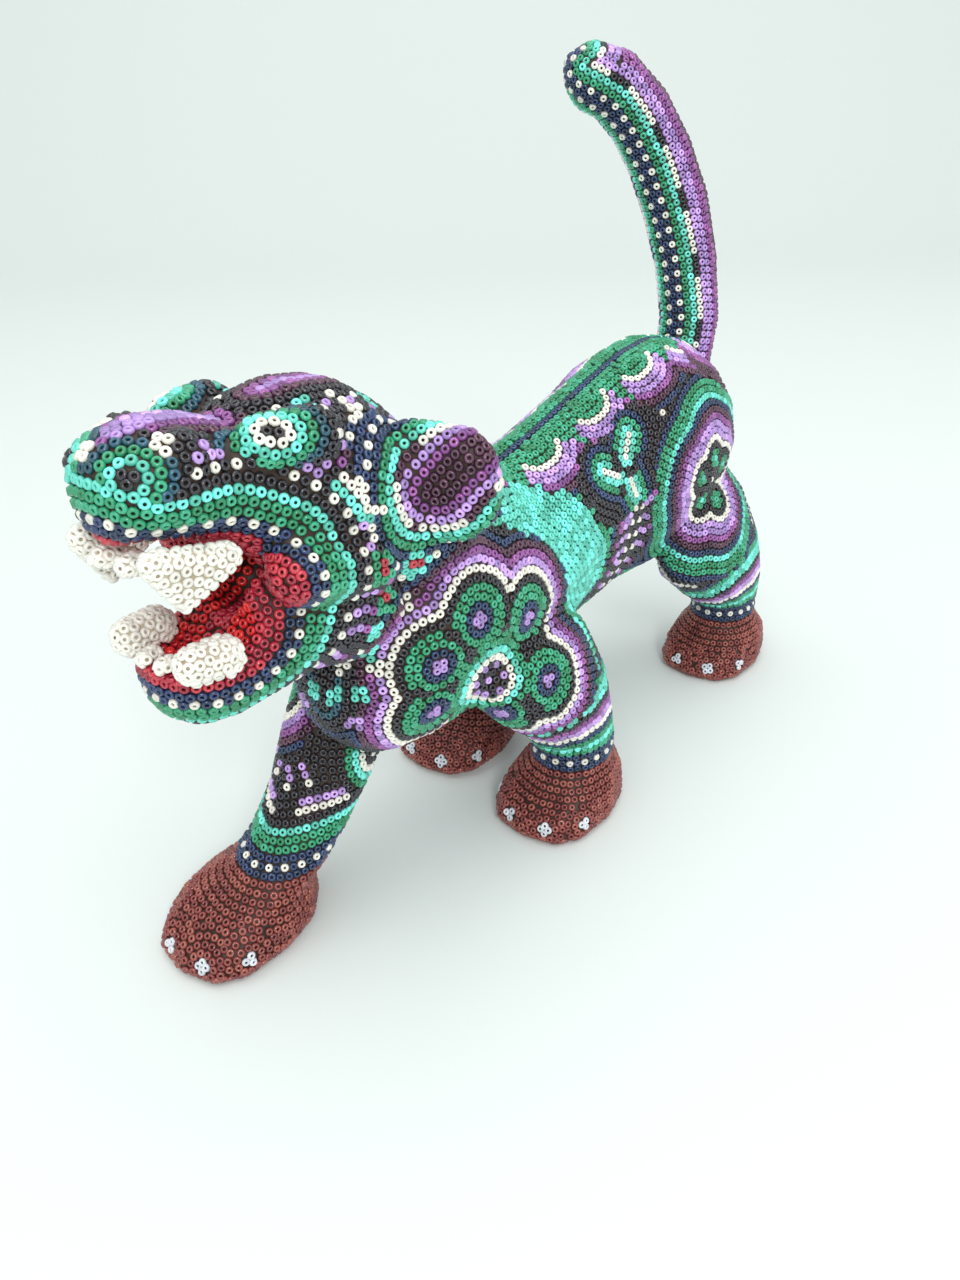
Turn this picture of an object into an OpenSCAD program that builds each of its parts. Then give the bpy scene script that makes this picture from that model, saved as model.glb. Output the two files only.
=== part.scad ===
// Beaded big cat: a carved wooden figure under a coat of beeswax that holds glass seed beads.
// The figure stands on its paws on z = 0, faces -Y and has its left side towards +X.
// Carving, wax and beads are three nested layers, cut at the same flat joints.

/* [Layers] */
// Thickness of the glass bead coat
bead_t = 1.4; // [1.2:0.1:1.6]
// Thickness of the beeswax under the beads
wax_t = 1.6; // [1.2:0.1:1.8]

/* [Body] */
// Half width of the shoulders
shoulder_w = 26.5; // [24:0.5:28]
// Half width of the waist
waist_w = 20.5; // [18:0.5:23]
// Half width of the haunches
haunch_w = 27; // [25:0.5:29]

/* [Head] */
// Half width of the skull at the cheeks
cheek_w = 22.5; // [21:0.5:23]
// Half width of the muzzle
muzzle_w = 14; // [12.5:0.5:15]
// Half width of the lower jaw at the chin
chin_w = 12; // [11:0.5:13]
// Half height of an ear
ear_h = 14; // [12:0.5:16]

/* [Paws and tail] */
// Half width of a paw
paw_w = 17; // [15:0.2:17.6]
// Half length of a paw
paw_l = 22; // [20:0.5:23]
// Radius of the tail at its middle
tail_r = 10; // [8.5:0.1:10.6]

/* [Joints] */
// Radius of the dowels in the neck, the legs and the tail
dowel_r = 3; // [2:0.5:3.5]
// Glue gap round a dowel
glue_gap = 0.15; // [0.1:0.05:0.3]

/* [Hidden] */

wood_inset = bead_t + wax_t;
far = 400;

// Middle of the figure's box, which is moved to the origin
mid_x = -0.25;
mid_y = 104;

// Flat joints between the carved blocks
leg_top = 46;
paw_top = 20;
anklet_top = 26.5;
tail_joint = [196, 116];
ear_joint = 23.4;
neck_pivot = [42, 104.5];
neck_tilt = 41;

// Torso sections from chest to rump: y, half width, underside, back
torso = [
    [27, 2, 62, 68], [30, 12, 55, 81], [37, 20, 48.5, 99], [48, shoulder_w - 1.5, 46.3, 112],
    [62, shoulder_w, 46, 113], [78, shoulder_w - 0.5, 46, 108], [96, waist_w + 3, 46, 105],
    [118, waist_w, 47, 109.5], [142, waist_w + 0.5, 48, 115.5],
    [160, haunch_w - 1.5, 47, 119.5], [176, haunch_w, 46.5, 120.5], [190, haunch_w - 1, 49, 118],
    [201, haunch_w - 4.5, 57, 112], [209, 15, 68, 103], [213, 3, 82, 88]
];

// Skull and muzzle sections from nose to nape: y, half width, underside, top
skull = [
    [-17.5, 2, 129, 134.5], [-16, 8, 124, 140], [-11, muzzle_w - 2, 123.5, 143],
    [-4, muzzle_w - 0.5, 121, 144], [4, muzzle_w, 117, 142.5], [11, muzzle_w + 2.5, 111, 139.5],
    [18, cheek_w - 2.5, 105, 142], [27, cheek_w - 0.5, 97, 143], [37, cheek_w, 90, 141.5],
    [47, cheek_w + 0.5, 82, 135], [57, cheek_w + 0.5, 76, 124], [68, cheek_w - 2, 72, 114],
    [78, 12, 78, 100]
];

// Lower jaw sections from chin to throat: y, half width, underside, top
jaw = [
    [-13.5, 1.5, 92, 96], [-12, chin_w - 5, 87, 103], [-7, chin_w - 1.5, 82.5, 106],
    [0, chin_w + 0.5, 81, 108], [8, chin_w + 2.5, 81.5, 112], [18, chin_w + 5, 82, 116],
    [28, chin_w + 6.5, 79, 116], [38, chin_w + 6, 76, 110], [46, 8, 80, 100]
];

// Side outline of the open mouth: y, z
mouth_outline = [
    [-40, 128], [-20, 123.2], [-12, 122.4], [-5.5, 120.6], [0, 118], [3.6, 114], [5, 108],
    [4.6, 102], [1.5, 98.4], [-4, 96.6], [-12, 97.6], [-17, 99.4], [-40, 101]
];

// Middles of the paws, front right, front left, rear right and rear left: x, y
paw_places = [[-20.5, 10], [21, 99], [-23, 107], [22.5, 203.5]];

// A leg's sections from sole to shoulder: z, x, y, half width, half length
function paw_sections(p) = [
    [0, p[0], p[1], paw_w - 1.6, paw_l - 1.8], [2.2, p[0], p[1], paw_w, paw_l],
    [7, p[0], p[1] + 1, paw_w - 0.3, paw_l - 1.4], [12, p[0], p[1] + 4, paw_w - 1.8, paw_l - 5]
];
front_right_leg = concat(paw_sections(paw_places[0]), [
    [17, -17, 21, 12.8, 14.2], [24, -15.2, 28, 12.4, 13.4],
    [34, -14.6, 36.5, 12.8, 14.2], [46, -15, 45, 13.6, 16.5], [62, -15.5, 54, 12, 17], [76, -12, 58, 8, 12]
]);
front_left_leg = concat(paw_sections(paw_places[1]), [
    [17, 22, 102.5, 12, 13.4], [24, 22.5, 102, 11.8, 13.4],
    [34, 22.3, 97.5, 12.4, 16.5], [46, 21.5, 90, 13.4, 22], [62, 17.5, 81, 13, 26], [78, 10, 72, 9, 18]
]);
rear_right_leg = concat(paw_sections(paw_places[2]), [
    [17, -22.5, 114, 11.8, 13.2], [24, -21.5, 121, 11.6, 13.4],
    [34, -20.5, 132, 12, 18], [46, -19.5, 147, 13, 25], [64, -15, 162, 12.5, 24], [80, -9, 170, 8, 14]
]);
rear_left_leg = concat(paw_sections(paw_places[3]), [
    [17, 22.5, 207, 11.6, 13.2], [24, 22.8, 207, 11.2, 14],
    [34, 22.8, 200.5, 12.6, 22], [46, 21.5, 193, 13.4, 29], [64, 17, 188, 12.5, 27], [82, 11, 184, 9, 17]
]);

// Tail stations from root to tip: x, y, z, radius
tail = [
    [0, 196, 96, 8], [0, 203, 106, tail_r - 0.4], [-0.6, 207.3, 120, tail_r - 0.3], [-4.3, 209, 137, tail_r],
    [-9, 208.3, 153, tail_r + 0.6], [-13.5, 204.3, 167, tail_r + 0.4], [-18.5, 198.2, 179, tail_r + 0.2],
    [-23.4, 191.4, 186.6, tail_r + 0.2], [-28.6, 184.8, 189, tail_r - 0.4], [-31.6, 181, 188.4, tail_r - 3.4],
    [-32.6, 179.6, 187.8, 2]
];

// Ear lobes: root and tip on the left side, mirrored for the right
ear_root = [17, 44, 119.5];
ear_tip = [27, 48, 120];

// Sides of a section through the trunk, a limb and a swelling: the hidden carving is plainer
function body_sides(inset) = inset > bead_t ? 10 : 14;
function limb_sides(inset) = inset > bead_t ? 8 : 12;
function swell_sides(inset) = inset > bead_t ? 6 : 8;
function ear_sides(inset) = inset > bead_t ? 6 : 10;

// A length moved towards the middle of its range, so that both ends give way by an inset
function drawn_in(v, low, high, inset) =
    (low + high) / 2 + (v - (low + high) / 2) * (high - low - 2 * inset) / (high - low);

// Ellipse in an upright plane across the body
function cross_section(s, low, high, inset) = [
    for (i = [0 : body_sides(inset) - 1]) let (a = 360 * i / body_sides(inset)) [
        max(s[1] - inset, 0.4) * cos(a),
        drawn_in(s[0], low, high, inset),
        (s[2] + s[3]) / 2 + max((s[3] - s[2]) / 2 - inset, 0.4) * sin(a)
    ]
];

// Level outline of a leg, blunt at the front of the paw
function level_section(s, inset) = [
    for (i = [0 : limb_sides(inset) - 1]) let (
        a = -360 * i / limb_sides(inset),
        blunt = s[0] < 15 && sin(a) < 0 ? 0.72 : 1
    ) [
        s[1] + (s[3] - inset) * sign(cos(a)) * pow(abs(cos(a)), blunt),
        s[2] + (s[4] - inset) * sign(sin(a)) * pow(abs(sin(a)), blunt),
        max(s[0], inset)
    ]
];

// Circle across the tail's run
function tail_section(p, along, inset) = let (
    t = along / norm(along),
    side = cross(t, [0, 1, 0]) / norm(cross(t, [0, 1, 0])),
    over = cross(side, t)
) [
    for (i = [0 : limb_sides(inset) - 1]) let (a = 360 * i / limb_sides(inset))
        [p[0], p[1], p[2]] + max(p[3] - inset, 0.4) * (cos(a) * side + sin(a) * over)
];

// A closed skin over a list of rings that all have the same number of points
module skin(rings) {
    count = len(rings[0]);
    last = len(rings) - 1;
    polyhedron(
        points = [for (r = rings) each r],
        faces = concat(
            [[for (i = [count - 1 : -1 : 0]) i]],
            [for (k = [0 : last - 1]) for (i = [0 : count - 1]) let (
                j = (i + 1) % count, low = k * count, high = low + count
            ) [low + i, low + j, high + j, high + i]],
            [[for (i = [0 : count - 1]) last * count + i]]
        ),
        convexity = 8
    );
}

module trunk(stations, inset) {
    low = stations[0][0];
    high = stations[len(stations) - 1][0];
    skin([for (s = stations) cross_section(s, low, high, inset)]);
}

module leg(stations, inset) {
    skin([for (s = stations) if (s[0] > inset || s[0] == 0) level_section(s, inset)]);
}

module tail_run(inset) {
    s = tail;
    last = len(s) - 1;
    tip = s[last] - s[last - 1];
    skin([for (i = [0 : last]) tail_section(
        i == last ? s[i] - inset * tip / norm(tip) : s[i],
        let (d = s[min(i + 1, last)] - s[max(i - 1, 0)]) [d[0], d[1], d[2]],
        inset)]);
}

module ball(centre, radius, sides = 8) {
    translate(centre)
        sphere(r = radius, $fn = sides);
}

// An egg with its own three half axes, turned about Z
module egg(centre, turn, half_axes, sides) {
    translate(centre)
        rotate([0, 0, turn])
            scale(half_axes)
                sphere(r = 1, $fn = sides);
}

// One ear: a flat lobe with a dished front
module ear(inset) {
    difference() {
        hull() {
            egg(ear_root, 24, [6, 6.2 - inset, ear_h - inset], ear_sides(inset));
            egg(ear_tip, 24, [9 - inset, 6 - inset, ear_h - 1.5 - inset], ear_sides(inset));
        }
        egg([31, 35.5, 121], 24, [10 + inset, 8.5 + inset, 9.5 + inset], 8);
    }
}

// Brow, cheek and nose pad on the left side
module face_swell(inset) {
    sides = swell_sides(inset);
    hull() {
        ball([12, 10.5, 136.5], 5.6 - inset, sides);
        ball([14.5, 21, 135.5], 6.2 - inset, sides);
    }
    hull() {
        ball([15.5, 12, 112], 7 - inset, sides);
        ball([14, 30, 108], 9.5 - inset, sides);
    }
    hull() {
        ball([6, -11, 135.5], 5.4 - inset, sides);
        ball([7.5, -3, 136.5], 6.3 - inset, sides);
    }
}

// The gape from side to side, grown by a margin on every wall
module gape(grow) {
    rotate([90, 0, 90])
        linear_extrude(height = 80, center = true)
            offset(r = grow, $fn = 12)
                polygon(mouth_outline);
}

// The open mouth: the gape and a hollow for the throat
module mouth(grow) {
    gape(grow);
    hull() {
        ball([0, 2, 110], 8 + grow);
        ball([0, 13, 107], 6.5 + grow);
    }
}

module both_sides() {
    children();
    mirror([1, 0, 0])
        children();
}

// The whole figure, drawn in by an inset on every face
module figure(inset) {
    difference() {
        union() {
            trunk(torso, inset);
            trunk(skull, inset);
            trunk(jaw, inset);
            both_sides()
                face_swell(inset);
            both_sides()
                ear(inset);
            leg(front_right_leg, inset);
            leg(front_left_leg, inset);
            leg(rear_right_leg, inset);
            leg(rear_left_leg, inset);
            tail_run(inset);
        }
        mouth(inset);
    }
}

module bead_layer() {
    difference() {
        figure(0);
        figure(bead_t);
    }
}

module wax_layer() {
    difference() {
        figure(bead_t);
        figure(wood_inset);
    }
}

// Spaces that hold one block each
module level_slab(low, high) {
    translate([-far, -far, low])
        cube([2 * far, 2 * far, high - low]);
}

module left_ear_space() {
    translate([ear_joint, 30, 100])
        cube([40, 36, 50]);
}

module right_ear_space() {
    mirror([1, 0, 0])
        left_ear_space();
}

// Everything in front of the slanted neck joint
module neck_front() {
    translate([0, neck_pivot[0], neck_pivot[1]])
        rotate([-neck_tilt, 0, 0])
            translate([-far, -far, -far])
                cube([2 * far, far, 2 * far]);
}

module head_space() {
    difference() {
        neck_front();
        left_ear_space();
        right_ear_space();
    }
}

// The tail's block stands on a flat joint behind the top of the rump
module tail_space() {
    difference() {
        translate([-80, 120, tail_joint[1]])
            cube([160, 120, 120]);
        translate([-80, 120, tail_joint[1]])
            cube([160, tail_joint[0] - 120, 20]);
    }
}

// Places of the legs on the ground: sign of x, lowest y, highest y
module leg_space(side, low, high) {
    translate([side > 0 ? 0 : -60, low, -1])
        cube([60, high - low, leg_top + 1]);
}

module front_right_space() {
    leg_space(-1, -30, 70);
}

module front_left_space() {
    leg_space(1, 50, 130);
}

module rear_right_space() {
    leg_space(-1, 70, 180);
}

module rear_left_space() {
    leg_space(1, 150, 240);
}

module torso_space() {
    difference() {
        translate([-80, 0, leg_top])
            cube([160, 250, 90]);
        neck_front();
        left_ear_space();
        right_ear_space();
        tail_space();
    }
}

// Dowels: a place, a direction in degrees, a length and a radius
module dowel(place, turn, length, radius, clear) {
    translate(place)
        rotate(turn)
            cylinder(r = radius + clear, h = length + 2 * clear, center = true, $fn = 24);
}

module neck_dowel_at(clear) {
    dowel([0, 42, 104.5], [90 - neck_tilt, 0, 0], 30, dowel_r + 1, clear);
}

module leg_dowels_at(clear) {
    dowel([-18, 42, leg_top], [-38, 0, 0], 26, dowel_r, clear);
    dowel([21, 83, leg_top], [36, 0, 0], 26, dowel_r, clear);
    dowel([-17.5, 140, leg_top], [-46, 0, 0], 26, dowel_r, clear);
    dowel([21.5, 201, leg_top], [30, 0, 0], 26, dowel_r, clear);
}

module tail_dowel_at(clear) {
    dowel([-0.7, 206, tail_joint[1]], [-12, 0, 0], 24, dowel_r, clear);
}

module ear_dowels_at(clear) {
    both_sides()
        dowel([ear_joint, 46.5, 120], [0, 90, 23], 8, 1, clear);
}

module carved() {
    difference() {
        figure(wood_inset);
        neck_dowel_at(glue_gap);
        leg_dowels_at(glue_gap);
        tail_dowel_at(glue_gap);
        ear_dowels_at(glue_gap);
    }
}

// The place that puts the middle of the figure's box at the origin
module placed() {
    translate([-mid_x, -mid_y, 0])
        children();
}

// One layer's share of one block
module share(colour_name) {
    color(colour_name)
        placed()
            intersection() {
                children(0);
                children(1);
            }
}

// Carved wooden blocks
module torso_core() {
    color("burlywood")
        placed()
            difference() {
                intersection() {
                    carved();
                    torso_space();
                }
                both_sides()
                    translate([21, 44, 110])
                        cube([10, 8, 10]);
            }
}

module head_core() {
    share("burlywood") {
        carved();
        head_space();
    }
}

module tail_core() {
    share("burlywood") {
        carved();
        tail_space();
    }
}

module left_ear_core() {
    share("burlywood") {
        carved();
        left_ear_space();
    }
}

module right_ear_core() {
    share("burlywood") {
        carved();
        right_ear_space();
    }
}

module front_right_leg_core() {
    share("burlywood") {
        carved();
        front_right_space();
    }
}

module front_left_leg_core() {
    share("burlywood") {
        carved();
        front_left_space();
    }
}

module rear_right_leg_core() {
    share("burlywood") {
        carved();
        rear_right_space();
    }
}

module rear_left_leg_core() {
    share("burlywood") {
        carved();
        rear_left_space();
    }
}

// Dowels that join the blocks
module neck_dowel() {
    color("wheat")
        placed()
            neck_dowel_at(0);
}

module leg_dowels() {
    color("wheat")
        placed()
            leg_dowels_at(0);
}

module tail_dowel() {
    color("wheat")
        placed()
            tail_dowel_at(0);
}

module ear_dowels() {
    color("wheat")
        placed()
            ear_dowels_at(0);
}

// Beeswax on each block
module torso_wax() {
    share("sienna") {
        wax_layer();
        torso_space();
    }
}

module head_wax() {
    share("sienna") {
        wax_layer();
        head_space();
    }
}

module tail_wax() {
    share("sienna") {
        wax_layer();
        tail_space();
    }
}

module left_ear_wax() {
    share("sienna") {
        wax_layer();
        left_ear_space();
    }
}

module right_ear_wax() {
    share("sienna") {
        wax_layer();
        right_ear_space();
    }
}

module front_right_leg_wax() {
    share("sienna") {
        wax_layer();
        front_right_space();
    }
}

module front_left_leg_wax() {
    share("sienna") {
        wax_layer();
        front_left_space();
    }
}

module rear_right_leg_wax() {
    share("sienna") {
        wax_layer();
        rear_right_space();
    }
}

module rear_left_leg_wax() {
    share("sienna") {
        wax_layer();
        rear_left_space();
    }
}

// Regions of the bead coat on the head
module eye_spaces() {
    both_sides()
        translate([16, 13, 139.5])
            rotate([0, 62, -20])
                cylinder(r = 4.4, h = 14, center = true, $fn = 10);
}

module lining_space() {
    mouth(bead_t + 0.2);
}

module lip_space() {
    gape(11);
}

// Four claws on the front of each paw
module claw_spaces() {
    for (p = paw_places)
        for (a = [-150, -112, -68, -30])
            translate([p[0] + 1.04 * paw_w * cos(a), p[1] + 1.04 * paw_l * sin(a), 5.5])
                rotate([0, 90, a])
                    cylinder(r = 2.5, h = 12, center = true, $fn = 6);
}

// Bead coats
module torso_beads() {
    share("mediumseagreen") {
        bead_layer();
        torso_space();
    }
}

module head_beads() {
    color("darkslategray")
        placed()
            difference() {
                intersection() {
                    bead_layer();
                    head_space();
                }
                lip_space();
                lining_space();
                eye_spaces();
            }
}

module lip_beads() {
    color("mediumturquoise")
        placed()
            difference() {
                intersection() {
                    bead_layer();
                    head_space();
                    lip_space();
                }
                lining_space();
            }
}

module mouth_beads() {
    color("crimson")
        placed()
            intersection() {
                bead_layer();
                head_space();
                lining_space();
            }
}

module eye_beads() {
    color("ivory")
        placed()
            difference() {
                intersection() {
                    bead_layer();
                    head_space();
                    eye_spaces();
                }
                lip_space();
                lining_space();
            }
}

module tail_beads() {
    share("mediumseagreen") {
        bead_layer();
        tail_space();
    }
}

module left_ear_beads() {
    share("plum") {
        bead_layer();
        left_ear_space();
    }
}

module right_ear_beads() {
    share("plum") {
        bead_layer();
        right_ear_space();
    }
}

// Beads of one leg between the anklet and the body
module shank(colour_name) {
    color(colour_name)
        placed()
            intersection() {
                bead_layer();
                level_slab(anklet_top, leg_top);
                children();
            }
}

module front_right_leg_beads() {
    shank("darkslateblue")
        front_right_space();
}

module front_left_leg_beads() {
    shank("mediumaquamarine")
        front_left_space();
}

module rear_right_leg_beads() {
    shank("darkslateblue")
        rear_right_space();
}

module rear_left_leg_beads() {
    shank("mediumaquamarine")
        rear_left_space();
}

// Beads of one paw, without its claws
module paw() {
    color("maroon")
        placed()
            difference() {
                intersection() {
                    bead_layer();
                    level_slab(-1, paw_top);
                    children();
                }
                claw_spaces();
            }
}

module front_right_paw_beads() {
    paw()
        front_right_space();
}

module front_left_paw_beads() {
    paw()
        front_left_space();
}

module rear_right_paw_beads() {
    paw()
        rear_right_space();
}

module rear_left_paw_beads() {
    paw()
        rear_left_space();
}

module anklet_beads() {
    color("teal")
        placed()
            intersection() {
                bead_layer();
                level_slab(paw_top, anklet_top);
            }
}

module claw_beads() {
    color("gainsboro")
        placed()
            intersection() {
                bead_layer();
                level_slab(-1, paw_top);
                claw_spaces();
            }
}

// Teeth, set on the mouth's lining
module set_teeth() {
    color("white")
        placed()
            difference() {
                both_sides()
                    children();
                figure(0);
            }
}

module upper_canines() {
    set_teeth()
        hull() {
            ball([10.5, -10, 113.2], 1.5, 6);
            ball([11.5, 0, 119], 3);
            ball([9.8, -14, 122.5], 3);
        }
}

module lower_canines() {
    set_teeth()
        hull() {
            ball([9.2, -10, 100.5], 4.2);
            ball([9.8, -3.5, 99.6], 4.6);
        }
}

module upper_incisors() {
    set_teeth()
        hull() {
            ball([3.4, -15, 121], 2.5, 6);
            ball([2.8, -12, 120.6], 2.4, 6);
        }
}

module lower_incisors() {
    set_teeth()
        hull() {
            ball([2.6, -12, 99], 2.2, 6);
            ball([2.8, -9.5, 98.8], 2.2, 6);
        }
}

torso_core();
head_core();
tail_core();
left_ear_core();
right_ear_core();
front_right_leg_core();
front_left_leg_core();
rear_right_leg_core();
rear_left_leg_core();
neck_dowel();
leg_dowels();
tail_dowel();
ear_dowels();
torso_wax();
head_wax();
tail_wax();
left_ear_wax();
right_ear_wax();
front_right_leg_wax();
front_left_leg_wax();
rear_right_leg_wax();
rear_left_leg_wax();
torso_beads();
head_beads();
lip_beads();
mouth_beads();
eye_beads();
tail_beads();
left_ear_beads();
right_ear_beads();
front_right_leg_beads();
front_left_leg_beads();
rear_right_leg_beads();
rear_left_leg_beads();
front_right_paw_beads();
front_left_paw_beads();
rear_right_paw_beads();
rear_left_paw_beads();
anklet_beads();
claw_beads();
upper_canines();
lower_canines();
upper_incisors();
lower_incisors();
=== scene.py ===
"""Looks of a beaded big cat: rows of glass seed beads in beeswax over a carved wooden figure."""

import colorsys
import logging
import math
from dataclasses import dataclass, field
from enum import Enum
from itertools import product

import bpy
import numpy as np
from mathutils import Matrix, Vector
from mathutils.bvhtree import BVHTree
from mathutils.kdtree import KDTree

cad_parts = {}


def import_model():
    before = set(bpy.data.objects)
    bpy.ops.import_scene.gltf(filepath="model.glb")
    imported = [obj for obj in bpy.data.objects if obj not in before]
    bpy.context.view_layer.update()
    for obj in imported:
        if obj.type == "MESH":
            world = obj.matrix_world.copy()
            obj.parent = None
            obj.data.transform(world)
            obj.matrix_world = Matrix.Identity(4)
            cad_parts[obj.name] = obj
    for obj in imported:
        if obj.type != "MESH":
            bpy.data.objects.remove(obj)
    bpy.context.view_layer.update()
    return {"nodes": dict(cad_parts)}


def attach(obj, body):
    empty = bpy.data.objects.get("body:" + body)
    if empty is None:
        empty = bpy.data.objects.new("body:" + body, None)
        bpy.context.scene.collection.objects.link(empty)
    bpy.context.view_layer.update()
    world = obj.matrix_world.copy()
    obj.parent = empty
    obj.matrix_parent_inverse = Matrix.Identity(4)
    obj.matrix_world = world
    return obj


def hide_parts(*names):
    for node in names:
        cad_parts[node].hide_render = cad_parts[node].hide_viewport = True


LOG = logging.getLogger("figure")
MM = 0.001
PITCH = 2.2
BEAD_RADIUS = 1.13
BEAD_HALF_HEIGHT = 0.7
CLOSEST = 1.68
SEED = 20
SHADES = 3
SHADE_SHARES = (0.5, 0.27, 0.23)
MAX_BEADS_PER_PIECE = 2300
QUAD_START = 0.95
POINT_REACH = 3.2
LINE_REACH = 2.6
RAY_REACH = 1.7 * PITCH
SEAM_REACH = 2.7
CENTRE_SLACK = 1.9
SAME_SIDE = 0.2
UNREACHED = 1e6
REACHED = 1e5
NUDGE = 1e-4
TINY = 1e-9
CARVER_ORIGIN = np.array([-0.25, 104.0, 0.0])
COATS = (
    "torso_beads", "head_beads", "lip_beads", "mouth_beads", "eye_beads", "tail_beads",
    "left_ear_beads", "right_ear_beads", "front_right_leg_beads", "front_left_leg_beads",
    "rear_right_leg_beads", "rear_left_leg_beads", "front_right_paw_beads",
    "front_left_paw_beads", "rear_right_paw_beads", "rear_left_paw_beads",
    "anklet_beads", "claw_beads",
)
TEETH = ("upper_canines", "lower_canines", "upper_incisors", "lower_incisors")
WAXES = (
    "torso_wax", "head_wax", "tail_wax", "left_ear_wax", "right_ear_wax",
    "front_right_leg_wax", "front_left_leg_wax", "rear_right_leg_wax", "rear_left_leg_wax",
)
CORES = (
    "torso_core", "head_core", "tail_core", "left_ear_core", "right_ear_core",
    "front_right_leg_core", "front_left_leg_core", "rear_right_leg_core", "rear_left_leg_core",
)
DOWELS = ("neck_dowel", "leg_dowels", "tail_dowel", "ear_dowels")


# ---------------------------------------------------------------- glass colours

class Glass(Enum):
    """Colours of the seed beads, as (red, green, blue) on a 0 to 255 display scale."""

    BLACK = (40, 38, 46)
    NAVY = (34, 58, 98)
    TEAL = (36, 86, 104)
    GREEN = (48, 158, 114)
    TURQUOISE = (108, 224, 206)
    CREAM = (248, 245, 234)
    LILAC = (194, 156, 226)
    PURPLE = (148, 82, 154)
    PLUM = (84, 46, 70)
    CRIMSON = (184, 42, 64)
    RED = (226, 38, 44)
    MAROON = (142, 66, 60)
    TOOTH = (252, 249, 240)
    CLAW = (226, 230, 238)


SLOTS = {
    "torso_beads": "green_beads", "tail_beads": "green_beads", "head_beads": "dark_beads",
    "lip_beads": "turquoise_beads", "anklet_beads": "turquoise_beads", "mouth_beads": "red_beads",
    "eye_beads": "cream_beads", "left_ear_beads": "purple_beads", "right_ear_beads": "purple_beads",
    "claw_beads": "claw_beads",
}


def linear(rgb: tuple[float, float, float]) -> tuple[float, float, float, float]:
    """Display colour on a 0 to 1 scale turned into linear light with alpha 1."""
    low = [c / 12.92 if c <= 0.04045 else ((c + 0.055) / 1.055) ** 2.4 for c in rgb]
    return (low[0], low[1], low[2], 1.0)


def new_material(name: str) -> tuple[bpy.types.Material, bpy.types.Node]:
    """A new material and its shader."""
    made = bpy.data.materials.new(name)
    made.use_nodes = True
    return made, made.node_tree.nodes["Principled BSDF"]


@dataclass(frozen=True)
class GlassFinish:
    """Polished glass bead in one shade of one colour."""

    colour: Glass
    shade: int

    def tint(self) -> tuple[float, float, float, float]:
        """The shade's own colour: lighter, plain or darker, with a small change of hue."""
        r, g, b = (c / 255 for c in self.colour.value)
        h, s, v = colorsys.rgb_to_hsv(r, g, b)
        step = (0.0, 1.0, -1.0)[self.shade]
        spread = 0.05 if self.colour in (Glass.TOOTH, Glass.CREAM, Glass.CLAW) else 0.13
        return linear(colorsys.hsv_to_rgb((h + 0.008 * step) % 1, min(1, s * (1 - 0.06 * step)),
                                          min(1, v * (1 + spread * step))))

    def build(self) -> bpy.types.Material:
        """Plain glossy glass with a clear coat."""
        made, shader = new_material(f"glass_{self.colour.name.lower()}_{self.shade}")
        values = {"Base Color": self.tint(), "Roughness": (0.3, 0.24, 0.36)[self.shade], "IOR": 1.5,
                  "Coat Weight": 0.6, "Coat Roughness": 0.08}
        for name, value in values.items():
            shader.inputs[name].default_value = value
        return made


# ---------------------------------------------------------------- rows and motifs

@dataclass
class Line:
    """Beads of one row in order, with what a row's colouring may look at."""

    places: np.ndarray
    count: np.ndarray
    tips: list[np.ndarray] = field(default_factory=list)


class Row:
    """Colouring of one row."""

    def paint(self, line: Line) -> list[Glass]:
        """Colours for the beads of a line.

        Args:
            line: the beads.

        Returns:
            One colour for each bead.
        """
        raise NotImplementedError


@dataclass(frozen=True)
class Plain(Row):
    """A row of one colour."""

    colour: Glass

    def paint(self, line: Line) -> list[Glass]:
        """Every bead the same."""
        return [self.colour] * len(line.count)


@dataclass(frozen=True)
class Runs(Row):
    """Runs of beads, one colour after another, over and over."""

    runs: tuple[tuple[Glass, int], ...]

    def paint(self, line: Line) -> list[Glass]:
        """Colours by each bead's count along its row."""
        wheel = [colour for colour, length in self.runs for _ in range(length)]
        return [wheel[int(c) % len(wheel)] for c in line.count]


@dataclass(frozen=True)
class Rays(Row):
    """Single beads, each beside the lit one of the row before.

    Args:
        ground: colour of the other beads.
        ray: colour of the single beads.
        every: beads from one new ray to the next, or 0 to carry on the rays of the row before.
    """

    ground: Glass
    ray: Glass
    every: int = 0

    def paint(self, line: Line) -> list[Glass]:
        """The bead nearest to each ray's tip takes the ray's colour."""
        lit = line.count % self.every == 0 if self.every else np.zeros(len(line.count), bool)
        for tip in [] if self.every else line.tips:
            away = np.linalg.norm(line.places - tip, axis=1)
            if away.min() < RAY_REACH:
                lit[away.argmin()] = True
        return [self.ray if on else self.ground for on in lit]


G = Glass
DOTS = Runs(((G.NAVY, 1), (G.CREAM, 1)))


def rows(*colours: "Glass | Row") -> tuple[Row, ...]:
    """Rows from colours and ready rows."""
    return tuple(Plain(c) if isinstance(c, Glass) else c for c in colours)


@dataclass(frozen=True)
class Motif:
    """Rows round a seed, from the seed outwards.

    Args:
        rows: colourings, the first on the seed itself; the last one goes on for ever.
        inner: rows on the inner side of a rim, if the seed is a rim.
        seam: colour of a bead that stands next to another seed's rows, if any.
        seam_rows: rows that a seam may cut, lowest and highest.
    """

    rows: tuple[Row, ...]
    inner: tuple[Row, ...] = ()
    seam: Glass | None = None
    seam_rows: tuple[int, int] = (0, 0)


def scallops(*colours: "Glass | Row") -> tuple[Row, ...]:
    """Rows that end in the dark ground of the body, crossed by pairs of bright rows."""
    ground = (G.NAVY, G.BLACK, G.TURQUOISE, G.GREEN, G.NAVY, G.BLACK, G.BLACK)
    return rows(*colours, *ground)


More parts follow.
